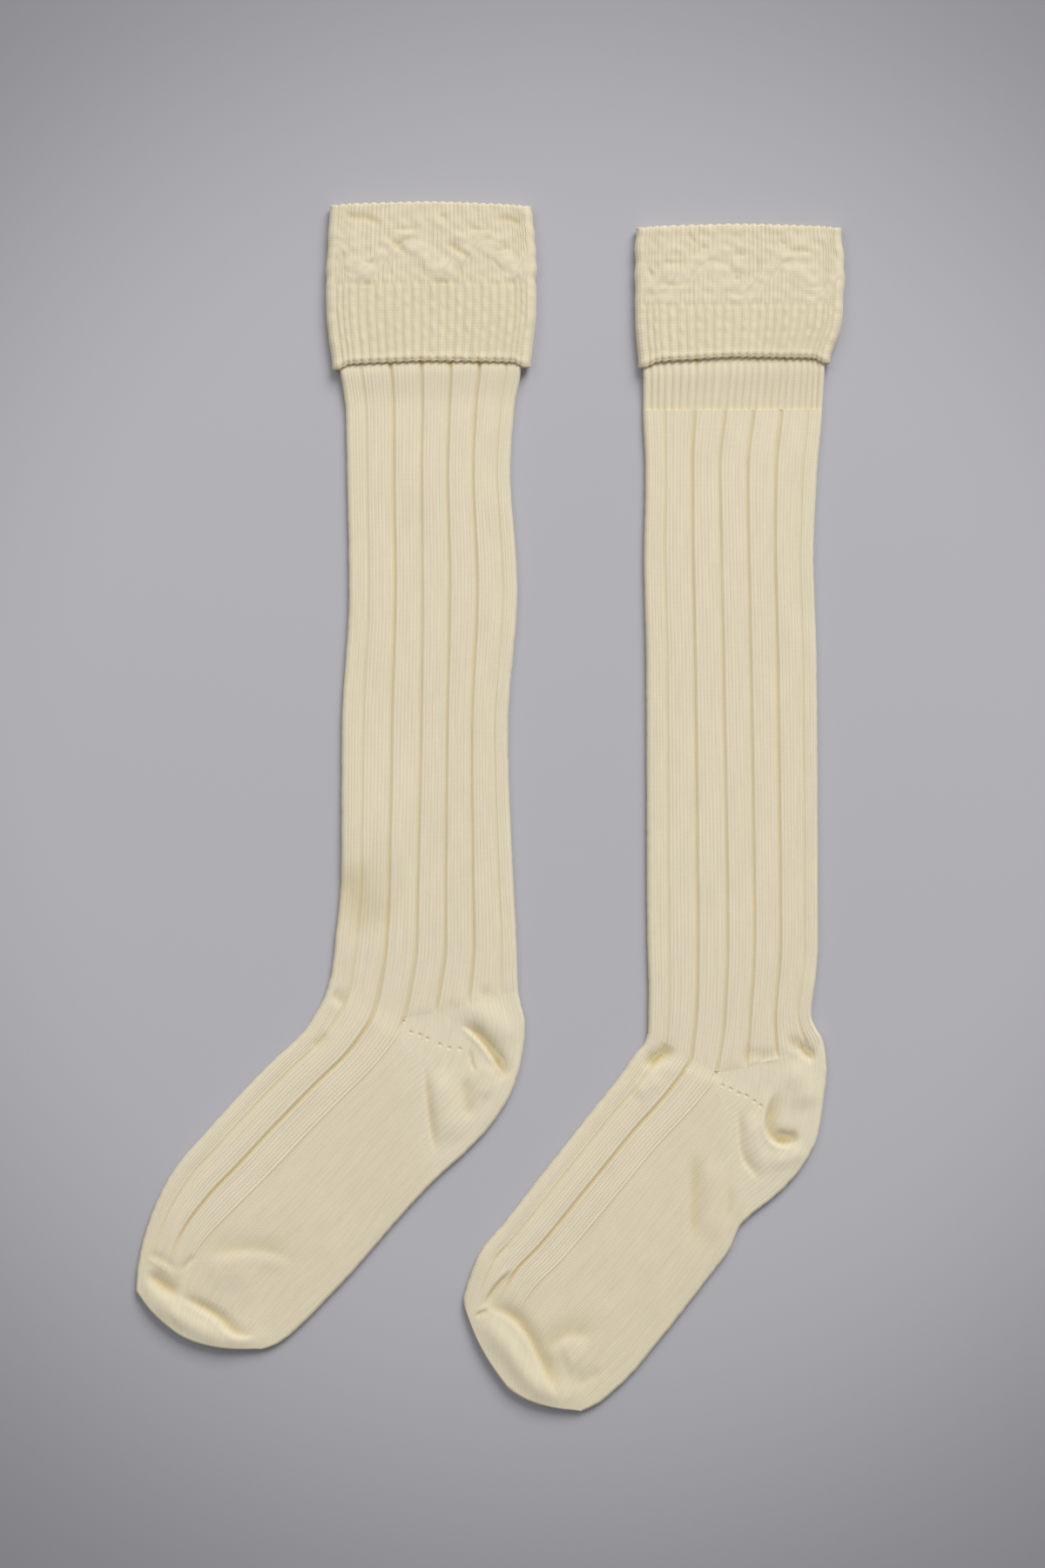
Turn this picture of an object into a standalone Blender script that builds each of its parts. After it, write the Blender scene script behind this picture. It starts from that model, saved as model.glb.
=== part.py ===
"""A pair of knee-high ribbed socks with turn-over cuffs, laid flat side by side on a surface.

Each sock is one knitted tube, pressed flat. A rung is a line across the flat tube, from its front edge to
its back edge, and a short table gives the rungs from the mouth to the toe. The cloth is a wall round those
rungs: its underside is flat, and its ribs are raised on its upper face over a plain inside.

Lengths are in millimetres until a point goes into a mesh. X runs to the right, Y runs from the toes to the
cuffs, and Z is up from the surface that the pair lies on.
"""

import math
from collections import namedtuple

import bmesh
import bpy
from mathutils import Vector

MM = 0.001

# Thickness of the cloth and the room between its layers
WALL = 1.8
SEAM = 0.3
HOLLOW = 0.5
LEG_HALF = WALL + HOLLOW / 2
CUFF_HALF = LEG_HALF + SEAM + WALL

# How far the upper sheet swells above flat, at the middle of each stretch
LEG_SWELL = 0.8
FOOT_SWELL = 2.0
TOE_SWELL = 1.6
SWELL_ROWS = 2

# Where the middle of the pair's outline lies in the tables below
PAIR_MIDDLE = (0.5, 0.0)

# Wide ribs: panels of plain knit between narrow grooves, as shares of the way from front edge to back edge
GROOVE_FIRST = 0.11
GROOVE_STEP = 0.162
GROOVES = 6
INSTEP_GROOVES = 3
GROOVE_HALF_WIDTH = 0.016
RIB_RISE = 0.9
SIDE_LINE = GROOVE_FIRST + (INSTEP_GROOVES - 1) * GROOVE_STEP
SOLE_RISE = 0.5
PANEL_SHARES = [GROOVE_FIRST + GROOVE_STEP * half / 2 for half in range(2 * GROOVES - 1)]
CUFF_LOWER_SHARES = (0.2, 0.4, 0.6, 0.8)

# Fine ribs of the cuff and of the band below it
FINE_RIBS = 24
FINE_RISE = 1.1

# The cuff, measured from its top fold
TURN_LENGTH = 8.0
WAVE_MIDDLE = 29.0
WAVE_REACH = 8.0
WAVE_HALF_WIDTH = 5.0
WAVE_RISE = 1.9
WAVE_PERIOD = 0.375
RIB_START = 45.0

# Under the cuff the leg rests on the cuff's lower layer, and comes down to the surface below it
DOWN_AFTER_CUFF = 22.0
RIBS_FADE_IN = 3.0

Rung = namedtuple("Rung", "place front side back")

LEFT_CUFF = (
    Rung("top fold", (-84.0, 318.3), (-35.9, 319.4), (22.2, 317.6)),
    Rung("wavy band", (-85.6, 292.6), (-36.3, 293.5), (24.4, 292.6)),
    Rung("rib", (-86.4, 265.0), (-36.8, 265.0), (24.8, 265.0)),
    Rung("free edge", (-83.1, 233.6), (-36.8, 235.6), (21.8, 234.9)),
)
RIGHT_CUFF = (
    Rung("top fold", (77.6, 306.4), (127.9, 307.7), (185.9, 306.2)),
    Rung("wavy band", (76.9, 288.0), (128.0, 288.0), (187.6, 288.0)),
    Rung("rib", (77.0, 258.1), (127.5, 258.5), (186.4, 258.0)),
    Rung("free edge", (78.7, 234.6), (127.0, 237.6), (180.1, 237.0)),
)

LEFT_SOCK = (
    Rung("top of the leg", (-81.4, 309.1), (-34.5, 309.1), (20.7, 309.1)),
    Rung("under the cuff", (-81.9, 269.6), (-35.4, 269.6), (19.8, 269.6)),
    Rung("cuff edge", (-79.3, 232.8), (-35.9, 234.6), (17.5, 235.5)),
    Rung("below the cuff", (-76.1, 208.8), (-35.9, 208.8), (12.9, 208.8)),
    Rung("calf", (-75.4, 175.3), (-36.3, 175.3), (11.0, 175.3)),
    Rung("mid leg", (-74.4, 113.2), (-35.9, 113.2), (14.7, 113.2)),
    Rung("shin", (-78.2, 39.6), (-36.6, 39.6), (9.7, 39.6)),
    Rung("low leg", (-78.5, -34.0), (-38.2, -36.3), (12.3, -34.0)),
    Rung("ankle", (-81.1, -66.2), (-39.1, -75.4), (14.1, -68.5)),
    Rung("heel top", (-83.9, -90.0), (-45.1, -110.9), (15.2, -97.1)),
    Rung("heel", (-84.8, -92.3), (-45.6, -112.8), (18.8, -115.9)),
    Rung("heel", (-85.2, -94.1), (-46.2, -114.8), (16.9, -133.3)),
    Rung("heel", (-85.6, -96.0), (-46.9, -116.7), (11.7, -150.7)),
    Rung("heel", (-86.4, -97.8), (-47.7, -118.6), (1.6, -167.3)),
    Rung("heel", (-86.9, -99.6), (-48.6, -120.4), (-11.7, -181.9)),
    Rung("heel end", (-87.8, -101.9), (-49.6, -122.2), (-27.8, -196.4)),
    Rung("arch", (-97.9, -118.5), (-60.7, -136.2), (-39.0, -208.0)),
    Rung("arch", (-115.4, -135.3), (-80.0, -155.5), (-51.4, -221.8)),
    Rung("mid foot", (-132.8, -153.3), (-99.4, -175.3), (-62.7, -235.0)),
    Rung("mid foot", (-150.6, -173.0), (-119.1, -196.0), (-73.6, -247.5)),
    Rung("ball", (-166.1, -191.0), (-138.0, -214.8), (-84.7, -259.1)),
    Rung("ball", (-177.8, -212.9), (-152.7, -230.9), (-95.0, -269.8)),
    Rung("toe seam", (-184.6, -235.3), (-163.8, -251.2), (-106.5, -280.3)),
    Rung("toe", (-186.4, -246.6), (-167.9, -265.0), (-113.5, -284.8)),
    Rung("tip", (-187.0, -256.5), (-166.1, -278.1), (-120.8, -287.0)),
)
RIGHT_SOCK = (
    Rung("top of the leg", (80.9, 298.1), (129.2, 298.5), (183.9, 298.1)),
    Rung("under the cuff", (80.5, 265.0), (127.9, 265.0), (183.1, 265.0)),
    Rung("cuff edge", (81.2, 232.8), (126.4, 233.7), (177.5, 235.5)),
    Rung("below the band", (81.2, 209.3), (125.0, 209.3), (176.1, 209.8)),
    Rung("calf", (82.5, 177.6), (121.8, 177.6), (173.4, 177.6)),
    Rung("mid leg", (81.7, 131.6), (122.1, 131.6), (171.5, 131.6)),
    Rung("shin", (82.9, 67.2), (123.3, 67.2), (173.2, 67.2)),
    Rung("low leg", (83.3, -61.6), (125.3, -61.6), (173.8, -70.8)),
    Rung("ankle", (84.2, -96.1), (124.0, -109.9), (170.2, -109.0)),
    Rung("heel top", (83.8, -119.7), (120.0, -139.8), (176.7, -124.2)),
    Rung("heel", (83.0, -122.1), (120.0, -140.8), (178.4, -138.9)),
    Rung("heel", (82.1, -124.7), (119.4, -141.7), (176.4, -156.5)),
    Rung("heel", (80.9, -127.0), (118.9, -142.6), (173.6, -174.0)),
    Rung("heel", (78.9, -128.9), (118.4, -143.5), (165.9, -189.7)),
    Rung("heel", (77.3, -130.7), (118.0, -144.4), (153.4, -204.0)),
    Rung("heel end", (76.0, -132.4), (117.5, -145.8), (137.8, -216.5)),
    Rung("arch", (68.2, -143.6), (107.4, -158.2), (132.2, -222.4)),
    Rung("arch", (53.9, -161.4), (87.6, -179.4), (127.2, -233.8)),
    Rung("mid foot", (39.3, -180.0), (70.0, -200.6), (115.2, -250.0)),
    Rung("mid foot", (24.1, -199.3), (54.4, -219.4), (103.0, -265.9)),
    Rung("ball", (8.4, -219.5), (37.5, -239.2), (89.1, -283.3)),
    Rung("ball", (-5.8, -237.2), (19.5, -255.8), (74.5, -300.8)),
    Rung("toe seam", (-13.8, -260.4), (11.8, -272.3), (57.4, -315.8)),
    Rung("toe", (-13.4, -264.0), (9.9, -289.8), (53.2, -317.9)),
    Rung("tip", (-12.3, -267.4), (9.4, -307.2), (48.8, -319.8)),
)

# Where in the tables the stretches of a sock begin and end
CUFF_EDGE = 2
HEEL_TOP = 9
HEEL_END = 15
TOE_SEAM = 22
TIP = 24

# Rows of the net at which each stretch has points, counted in rungs, outside the wall and inside it
LEFT_LEG_ROWS = (1, 2, 2.12, 2.55, 3, 3.5, 4, 4.5, 5, 6, 7, 7.5, 8, 8.5)
LEFT_LEG_INNER_ROWS = (1, 2, 3, 4, 5, 6, 7, 8)
BAND_END = 3
BAND_ROWS = (1, 2, 2.12, 2.55)
BAND_INNER_ROWS = (1, 2)
RIGHT_LEG_ROWS = (3.5, 4, 4.5, 5, 5.5, 6, 6.5, 7, 7.5, 8, 8.5)
RIGHT_LEG_INNER_ROWS = (4, 5, 6, 7, 8)
HEEL_ROWS = tuple(HEEL_TOP + k / 2 for k in range(2 * (HEEL_END - HEEL_TOP) + 1))
FOOT_ROWS = (HEEL_TOP, 12, HEEL_END, 15.5, 16, 17, 18, 19, 20, 20.5, 21, 21.5, TOE_SEAM)
TOE_ROWS = (TOE_SEAM, 22.5, 23)
TIP_TURNS = (0, 45, 90)

# Rows of the cuff, in millimetres from its top fold
WAVE_ROWS = (39.0, 33.0, 27.0, 21.0, 15.0, 8.0)
CUFF_INNER_ROWS = (21.0, RIB_START)

# The largest creases: a line on the floor plan, how wide it is, and how deep (a ridge is below zero)
Fold = namedtuple("Fold", "start end half_width depth")
LEFT_FOLDS = (
    Fold((-22.0, -116.0), (-2.0, -121.0), 5.0, 1.5),
    Fold((-2.0, -121.0), (8.0, -138.0), 6.0, 1.4),
    Fold((-16.0, -133.0), (-6.0, -148.0), 7.0, -1.2),
    Fold((-34.0, -134.0), (-30.0, -181.0), 6.0, 1.3),
    Fold((-177.0, -256.0), (-150.0, -268.0), 6.0, 1.0),
)
RIGHT_FOLDS = (
    Fold((150.0, -156.0), (148.0, -170.0), 6.0, 1.6),
    Fold((148.0, -174.0), (162.0, -178.0), 6.0, 1.4),
    Fold((160.0, -150.0), (163.0, -164.0), 7.0, -1.2),
    Fold((133.0, -163.0), (141.0, -198.0), 6.0, 1.3),
    Fold((85.0, -134.0), (87.0, -140.0), 6.0, 0.8),
)

Sock = namedtuple("Sock", "side cuff rungs folds first_wave")
SOCKS = (
    Sock("left", LEFT_CUFF, LEFT_SOCK, LEFT_FOLDS, 0.167),
    Sock("right", RIGHT_CUFF, RIGHT_SOCK, RIGHT_FOLDS, 0.125),
)

# A column is one line of points along the tube: on the upper sheet, on the lower one or round an edge fold
Column = namedtuple("Column", "share sheet turn")
UPPER, EDGE, LOWER = 1, 0, -1
EDGE_TURN = math.radians(45)
EDGE_TURNS = (EDGE_TURN, 0.0, -EDGE_TURN)

# How far in from an edge its direction is taken, as a share of the width, and a step along the rungs
LOOK_IN = 0.05
WALK_STEP = 0.02

# Points this close are one, and an edge that turns more than this is drawn sharp
WELD = 0.002
SHARP_ANGLE = math.radians(48)

# A crease takes at most this share of the swell, so that the sheets never meet
MOST_SINK = 0.9

# The wool, as a linear colour
CREAM = (0.70, 0.62, 0.45)
ROUGHNESS = 0.9


def ease(share):
    """0 to 1 with level ends."""
    share = min(max(share, 0.0), 1.0)
    return share * share * (3 - 2 * share)


def meeting_slope(before, after):
    """The slope where two stretches meet, chosen so that the curve never passes beyond its points."""
    if before * after <= 0:
        return 0.0
    return 2 * before * after / (before + after)


def flow(stops, values, at):
    """The smooth curve through values, given at rising stops."""
    at = min(max(at, stops[0]), stops[-1])
    left = 0
    while left < len(stops) - 2 and at > stops[left + 1]:
        left += 1
    slopes = [(values[k + 1] - values[k]) / (stops[k + 1] - stops[k]) for k in range(len(stops) - 1)]
    start = slopes[left] if left == 0 else meeting_slope(slopes[left - 1], slopes[left])
    last = left == len(slopes) - 1
    end = slopes[left] if last else meeting_slope(slopes[left], slopes[left + 1])
    length = stops[left + 1] - stops[left]
    u = (at - stops[left]) / length
    return (
        values[left] * (2 * u**3 - 3 * u**2 + 1)
        + values[left + 1] * (3 * u**2 - 2 * u**3)
        + start * length * (u**3 - 2 * u**2 + u)
        + end * length * (u**3 - u**2)
    )


def plan(rungs, row, share):
    """The point on the floor plan at a row of the rungs and a share of the way from front to back."""
    stops = range(len(rungs))
    ends = []
    for axis in (0, 1):
        across = [
            flow(stops, [getattr(rung, name)[axis] for rung in rungs], row)
            for name in ("front", "side", "back")
        ]
        ends.append(flow((0.0, SIDE_LINE, 1.0), across, share))
    return Vector((ends[0] - PAIR_MIDDLE[0], ends[1] - PAIR_MIDDLE[1]))


def row_at(rungs, row, distance):
    """The row that lies this far along the side line from the given row, towards the toe."""
    step = WALK_STEP if distance > 0 else -WALK_STEP
    here = plan(rungs, row, SIDE_LINE)
    left = abs(distance)
    while left > 0 and 0 <= row + step <= len(rungs) - 1:
        ahead = plan(rungs, row + step, SIDE_LINE)
        length = (ahead - here).length
        if length >= left:
            return row + step * left / length
        row, here, left = row + step, ahead, left - length
    return row


def crease(folds, point):
    """How far the sheet sinks at a point on the plan."""
    depth = 0.0
    for fold in folds:
        start, end = Vector(fold.start), Vector(fold.end)
        along = end - start
        share = min(max((point - start).dot(along) / along.length_squared, 0.0), 1.0)
        away = (point - start - along * share).length / fold.half_width
        depth += fold.depth * math.exp(-away * away)
    return depth


def ring_point(rungs, row, column, half, middle, depth, rise):
    """A point of the flattened ring at a row: depth is how far inside the outer face it lies."""
    inner_half = half - depth
    if column.sheet != EDGE and 0 < column.share < 1:
        place = plan(rungs, row, column.share)
    else:
        inset = half - inner_half * math.cos(column.turn) if column.sheet == EDGE else half
        edge = plan(rungs, row, column.share)
        inwards = plan(rungs, row, LOOK_IN if column.share == 0 else 1 - LOOK_IN) - edge
        place = edge + inwards.normalized() * inset
    if column.sheet == EDGE:
        height = middle + inner_half * math.sin(column.turn)
    else:
        height = middle + column.sheet * inner_half
    if column.sheet == UPPER:
        height += rise
    return Vector((place.x, place.y, height))


def ring_columns(upper, lower):
    """One turn round the tube: the upper sheet, the back edge, the lower sheet, the front edge."""
    turn = [Column(share, UPPER, 0.0) for share in (0.0, *upper, 1.0)]
    turn += [Column(1.0, EDGE, angle) for angle in EDGE_TURNS]
    turn += [Column(share, LOWER, 0.0) for share in (1.0, *reversed(lower), 0.0)]
    turn += [Column(0.0, EDGE, -angle) for angle in EDGE_TURNS]
    return turn


def groove_centres(count):
    return [GROOVE_FIRST + GROOVE_STEP * k for k in range(count)]


def wide_rib_shares(count):
    """Where the upper sheet needs points: the sides and foot of each groove, and the top of each panel."""
    shares = []
    for centre in groove_centres(count):
        if shares:
            shares.append(centre - GROOVE_STEP / 2)
        shares += [centre - GROOVE_HALF_WIDTH, centre, centre + GROOVE_HALF_WIDTH]
    return shares


def wide_rib(share, count):
    """Height of the flat panels over the grooves between them."""
    nearest = min(abs(share - centre) for centre in groove_centres(count))
    return RIB_RISE * (1 - math.exp(-((nearest / GROOVE_HALF_WIDTH) ** 2)))


def fine_rib_shares():
    return [k / (2 * FINE_RIBS) for k in range(1, 2 * FINE_RIBS)]


def fine_rib(share):
    return FINE_RISE * (1 + math.cos(2 * math.pi * FINE_RIBS * share)) / 2


def swell(share, most):
    return most * math.sin(math.pi * share)


def new_net(rows, columns):
    """A flat grid as the start of a net, each point marked with its row and its column."""
    net = bmesh.new()
    bmesh.ops.create_grid(net, x_segments=columns, y_segments=rows, size=1.0)
    row_mark = net.verts.layers.int.new("row")
    column_mark = net.verts.layers.int.new("column")
    for vert in net.verts:
        vert[row_mark] = round((vert.co.y + 1) / 2 * rows)
        vert[column_mark] = round((vert.co.x + 1) / 2 * columns)
    return net, row_mark, column_mark


def finish(net, name):
    """Closes the net where its points meet, turns its faces out and makes it an object."""
    bmesh.ops.remove_doubles(net, verts=net.verts, dist=WELD * MM)
    bmesh.ops.recalc_face_normals(net, faces=net.faces)
    mesh = bpy.data.meshes.new(name)
    net.to_mesh(mesh)
    net.free()
    mesh.shade_smooth()
    mesh.set_sharp_from_angle(angle=SHARP_ANGLE)
    mesh.materials.append(wool(name + "_wool"))
    bpy.context.scene.collection.objects.link(bpy.data.objects.new(name, mesh))


def wool(name):
    """Cream sheep's wool: no shine and no metal."""
    material = bpy.data.materials.new(name)
    material.use_nodes = True
    shader = material.node_tree.nodes["Principled BSDF"]
    shader.inputs["Base Color"].default_value = (*CREAM, 1.0)
    shader.inputs["Roughness"].default_value = ROUGHNESS
    shader.inputs["Metallic"].default_value = 0.0
    return material


def tube(name, section, columns, place):
    """A ring-shaped wall: section lists the rows round the wall's own cross-section, as (row, depth)."""
    net, row_mark, column_mark = new_net(len(section), len(columns))
    for vert in net.verts:
        row, depth = section[vert[row_mark] % len(section)]
        column = columns[vert[column_mark] % len(columns)]
        vert.co = place(row, column, depth) * MM
    finish(net, name)


def cuff_place(sock):
    """Where a point of the turn-over lies. Its row is the distance from the top fold."""

    def place(away, column, depth):
        row = row_at(sock.cuff, 0, away)
        rise = swell(column.share, LEG_SWELL)
        if depth == 0:
            turn = 2 * math.pi * (column.share - sock.first_wave) / WAVE_PERIOD
            from_wave = away - WAVE_MIDDLE - WAVE_REACH * math.cos(turn)
            raised = math.exp(-((from_wave / WAVE_HALF_WIDTH) ** 2))
            rise += fine_rib(column.share) * (1 - raised) + WAVE_RISE * raised
        return ring_point(sock.cuff, row, column, CUFF_HALF, CUFF_HALF, depth, rise)

    return place


def build_cuff(sock):
    """The turn-over: up its outside from the free edge, round the top fold, into the mouth and back down."""
    ends = [plan(sock.cuff, row, SIDE_LINE) for row in (0, len(sock.cuff) - 1)]
    length = (ends[1] - ends[0]).length
    fold = WALL + SEAM / 2
    near_fold = fold * (1 - math.sin(EDGE_TURN))
    section = [(length, 0.0), ((length + RIB_START) / 2, 0.0), (RIB_START, 0.0)]
    section += [(away, 0.0) for away in (*WAVE_ROWS, fold)]
    section += [(near_fold, near_fold), (0.0, fold), (near_fold, 2 * fold - near_fold)]
    section += [(fold, 2 * fold), (TURN_LENGTH, 2 * fold), (TURN_LENGTH, WALL + SEAM)]
    section += [(fold, WALL + SEAM), (WALL, fold), (fold, WALL)]
    section += [(away, WALL) for away in (*CUFF_INNER_ROWS, length)]
    columns = ring_columns(fine_rib_shares(), CUFF_LOWER_SHARES)
    tube(sock.side + "_cuff", section, columns, cuff_place(sock))


def leg_place(sock, rib):
    """Where a point of the leg lies. Its row counts the rungs."""

    def place(row, column, depth):
        here = plan(sock.rungs, row, SIDE_LINE)
        below = (plan(sock.rungs, CUFF_EDGE, SIDE_LINE) - here).y
        lift = (CUFF_HALF - LEG_HALF) * (1 - ease(below / DOWN_AFTER_CUFF))
        rise = swell(column.share, LEG_SWELL)
        if depth == 0:
            rise += rib(column.share) * ease(below / RIBS_FADE_IN)
        return ring_point(sock.rungs, row, column, LEG_HALF, LEG_HALF + lift, depth, rise)

    return place


def leg_section(rungs, start, end, outer_rows, inner_rows):
    """The wall's cross-section along a stretch of leg, from row start to row end, clear of its neighbours."""
    first = row_at(rungs, start, SEAM / 2)
    last = row_at(rungs, end, -SEAM / 2)
    section = [(row, 0.0) for row in (first, *outer_rows, last)]
    return section + [(row, WALL) for row in (last, *reversed(inner_rows), first)]


def build_leg(sock, start, outer_rows, inner_rows):
    """The leg's wide ribs, down to the top of the heel."""
    columns = ring_columns(wide_rib_shares(GROOVES), PANEL_SHARES)
    section = leg_section(sock.rungs, start, HEEL_TOP, outer_rows, inner_rows)
    tube(sock.side + "_leg", section, columns, leg_place(sock, lambda share: wide_rib(share, GROOVES)))


def build_band(sock):
    """The fine rib below the cuff, which starts inside the cuff at the mouth."""
    columns = ring_columns(fine_rib_shares(), CUFF_LOWER_SHARES)
    section = leg_section(sock.rungs, 0, BAND_END, BAND_ROWS, BAND_INNER_ROWS)
    tube(sock.side + "_band", section, columns, leg_place(sock, fine_rib))


def foot_rise(sock, row, column, depth):
    """How far the upper sheet of the foot stands above flat: its swell, less its creases, and its ribs."""
    most = LEG_SWELL + (FOOT_SWELL - LEG_SWELL) * ease((row - HEEL_TOP) / SWELL_ROWS)
    most += (TOE_SWELL - FOOT_SWELL) * ease((row - TOE_SEAM + SWELL_ROWS) / SWELL_ROWS)
    full = swell(column.share, most)
    rise = full - min(crease(sock.folds, plan(sock.rungs, row, column.share)), MOST_SINK * full)
    if depth == 0:
        ribbed = column.share <= SIDE_LINE and row <= TOE_SEAM
        rise += wide_rib(column.share, INSTEP_GROOVES) if ribbed else SOLE_RISE
    return rise


def foot_place(sock):
    """Where a point of the foot, the heel or the toe lies. Its row counts the rungs."""

    def place(row, column, depth):
        rise = foot_rise(sock, row, column, depth)
        return ring_point(sock.rungs, row, column, LEG_HALF, LEG_HALF, depth, rise)

    return place


def toe_place(sock):
    """Where a point of the toe lies. A row past the rungs counts the turns round the closed tip."""
    flat_place = foot_place(sock)

    def place(row, column, depth):
        if row <= TOE_ROWS[-1]:
            return flat_place(row, column, depth)
        turn = math.radians(TIP_TURNS[row - TIP - 1])
        from_tip = LEG_HALF - (LEG_HALF - depth) * math.sin(turn)
        point = flat_place(row_at(sock.rungs, TIP, -from_tip), column, depth)
        point.z = LEG_HALF + (point.z - LEG_HALF) * math.cos(turn)
        return point

    return place


def pull_in(cells, axis):
    """Which way a point moves along one axis of the net to leave half a seam: 1, -1 or, inside a piece, 0."""
    pull = sum(step[axis] for step, there in cells.items() if there)
    return (pull > 0) - (pull < 0)


def patch(name, rows, columns, has_cell, place, open_rows):
    """A wall over part of the tube. has_cell(row, first, second) says which cells it has.

    Its inner face is laid first, then extruded into a wall whose new points go to the outer face. Rims are
    pulled in by half a seam, along the rows where open_rows allows it and always across them.
    """
    net, row_mark, column_mark = new_net(len(rows) - 1, len(columns))
    count = len(columns)

    def is_kept(row, column):
        in_net = 0 <= row < len(rows) - 1
        return in_net and has_cell(rows[row], columns[column % count], columns[(column + 1) % count])

    def put(vert, depth):
        row, column = vert[row_mark], vert[column_mark]
        cells = {
            (down, across): is_kept(row + (down - 1) // 2, column + (across - 1) // 2)
            for down in (-1, 1)
            for across in (-1, 1)
        }
        here = place(rows[row], columns[column % count], depth)
        moved = here.copy()
        down = pull_in(cells, 0) if rows[row] in open_rows else 0
        across = pull_in(cells, 1)
        if down:
            beside = place(rows[row + down], columns[column % count], depth)
            moved += (beside - here).normalized() * SEAM / 2
        if across:
            beside = place(rows[row], columns[(column + across) % count], depth)
            moved += (beside - here).normalized() * SEAM / 2
        vert.co = moved * MM

    def is_outside(face):
        corner_row = min(vert[row_mark] for vert in face.verts)
        corner_column = min(vert[column_mark] for vert in face.verts)
        return not is_kept(corner_row, corner_column)

    for vert in net.verts:
        put(vert, WALL)
    bmesh.ops.delete(net, geom=[face for face in net.faces if is_outside(face)], context="FACES")
    bmesh.ops.remove_doubles(net, verts=net.verts, dist=WELD * MM)
    inner_face = set(net.verts)
    whole = [*net.verts, *net.edges, *net.faces]
    bmesh.ops.extrude_face_region(net, geom=whole, use_keep_orig=True)
    for vert in net.verts:
        if vert not in inner_face:
            put(vert, 0.0)
    finish(net, name)


def foot_columns():
    """Ribs over the instep, plain knit over the sole."""
    instep = [share for share in wide_rib_shares(INSTEP_GROOVES) if share <= SIDE_LINE]
    sole = [share for share in PANEL_SHARES if share > SIDE_LINE]
    return ring_columns(instep + sole, PANEL_SHARES)


def on_sole_side(first, second):
    """Whether the cell between two columns lies on the heel and sole side of the side line."""
    return min(first.share, second.share) >= SIDE_LINE


def build_heel(sock):
    """The heel pocket: a fan of rows that opens from the side line to the back of the heel."""

    def has_cell(row, first, second):
        return on_sole_side(first, second)

    patch(sock.side + "_heel", HEEL_ROWS, foot_columns(), has_cell, foot_place(sock), HEEL_ROWS)


def build_foot(sock):
    """The instep from the top of the heel on, and the sole from the end of the heel on."""

    def has_cell(row, first, second):
        return row >= HEEL_END or not on_sole_side(first, second)

    patch(sock.side + "_foot", FOOT_ROWS, foot_columns(), has_cell, foot_place(sock), FOOT_ROWS)


def build_toe(sock):
    """The toe cap, closed round its tip."""

    def has_cell(row, first, second):
        return True

    rows = TOE_ROWS + tuple(TIP + 1 + turn for turn in range(len(TIP_TURNS)))
    columns = ring_columns(PANEL_SHARES, PANEL_SHARES)
    patch(sock.side + "_toe", rows, columns, has_cell, toe_place(sock), (TOE_SEAM,))


def build_sock(sock):
    """One sock. The left one's band is hidden under its longer turn-over, so its leg runs up to the mouth."""
    build_cuff(sock)
    if sock.side == "left":
        build_leg(sock, 0, LEFT_LEG_ROWS, LEFT_LEG_INNER_ROWS)
    else:
        build_band(sock)
        build_leg(sock, BAND_END, RIGHT_LEG_ROWS, RIGHT_LEG_INNER_ROWS)
    build_heel(sock)
    build_foot(sock)
    build_toe(sock)


for old in list(bpy.data.objects):
    bpy.data.objects.remove(old)
for sock in SOCKS:
    build_sock(sock)
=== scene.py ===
# %% [markdown]
# # A pair of cream knee socks, laid flat
#
# Two knitted knee socks with turn-over cuffs lie side by side, seen from straight above. A sock is one
# knitted tube, so this lesson treats it as cloth: each stretch of the tube starts as a flat grid, which is
# wrapped round the pressed-flat sock and then given its ribs, its folds and its wool.
#
# The solids of the pair come first. They say where every stretch of cloth lies, and nothing here moves them.

# %% Load the solids
import math
from collections import namedtuple

import bmesh
import bpy
import numpy as np
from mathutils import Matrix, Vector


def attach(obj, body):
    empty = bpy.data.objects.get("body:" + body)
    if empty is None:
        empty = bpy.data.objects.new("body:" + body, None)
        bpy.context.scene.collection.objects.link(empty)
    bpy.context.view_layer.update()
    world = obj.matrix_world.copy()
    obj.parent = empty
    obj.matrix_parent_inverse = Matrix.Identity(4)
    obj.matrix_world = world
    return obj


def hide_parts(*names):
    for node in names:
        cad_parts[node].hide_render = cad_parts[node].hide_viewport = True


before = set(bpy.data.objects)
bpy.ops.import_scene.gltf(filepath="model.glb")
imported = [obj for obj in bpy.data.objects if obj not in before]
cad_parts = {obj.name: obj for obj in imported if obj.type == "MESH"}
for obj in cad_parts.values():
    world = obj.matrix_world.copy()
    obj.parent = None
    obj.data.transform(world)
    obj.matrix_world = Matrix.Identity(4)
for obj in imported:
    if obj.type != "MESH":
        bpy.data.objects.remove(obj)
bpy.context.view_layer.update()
MM = 0.001
print("solids:", sorted(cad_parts))

# %% [markdown]
# ## The camera
#
# The picture is taken from straight above, and it takes in 552 by 828 mm of the table. A long lens held
# high keeps the edges of the cloth from leaning outwards, as a product photographer would want. The other
# way is an orthographic camera, but a real lens keeps a trace of depth where the cloth is thick.

# %% Look straight down
PIXEL = 0.46 * MM
SEEN_LENGTH = 1800 * PIXEL
LENS = 70.0
SENSOR = 36.0
CLOTH_TOP = 5 * MM
VIEW_MIDDLE = (0.01698, 0.01196)


def add_object(name, data):
    """A new object in the scene that shows data."""
    thing = bpy.data.objects.new(name, data)
    bpy.context.scene.collection.objects.link(thing)
    return thing


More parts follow.
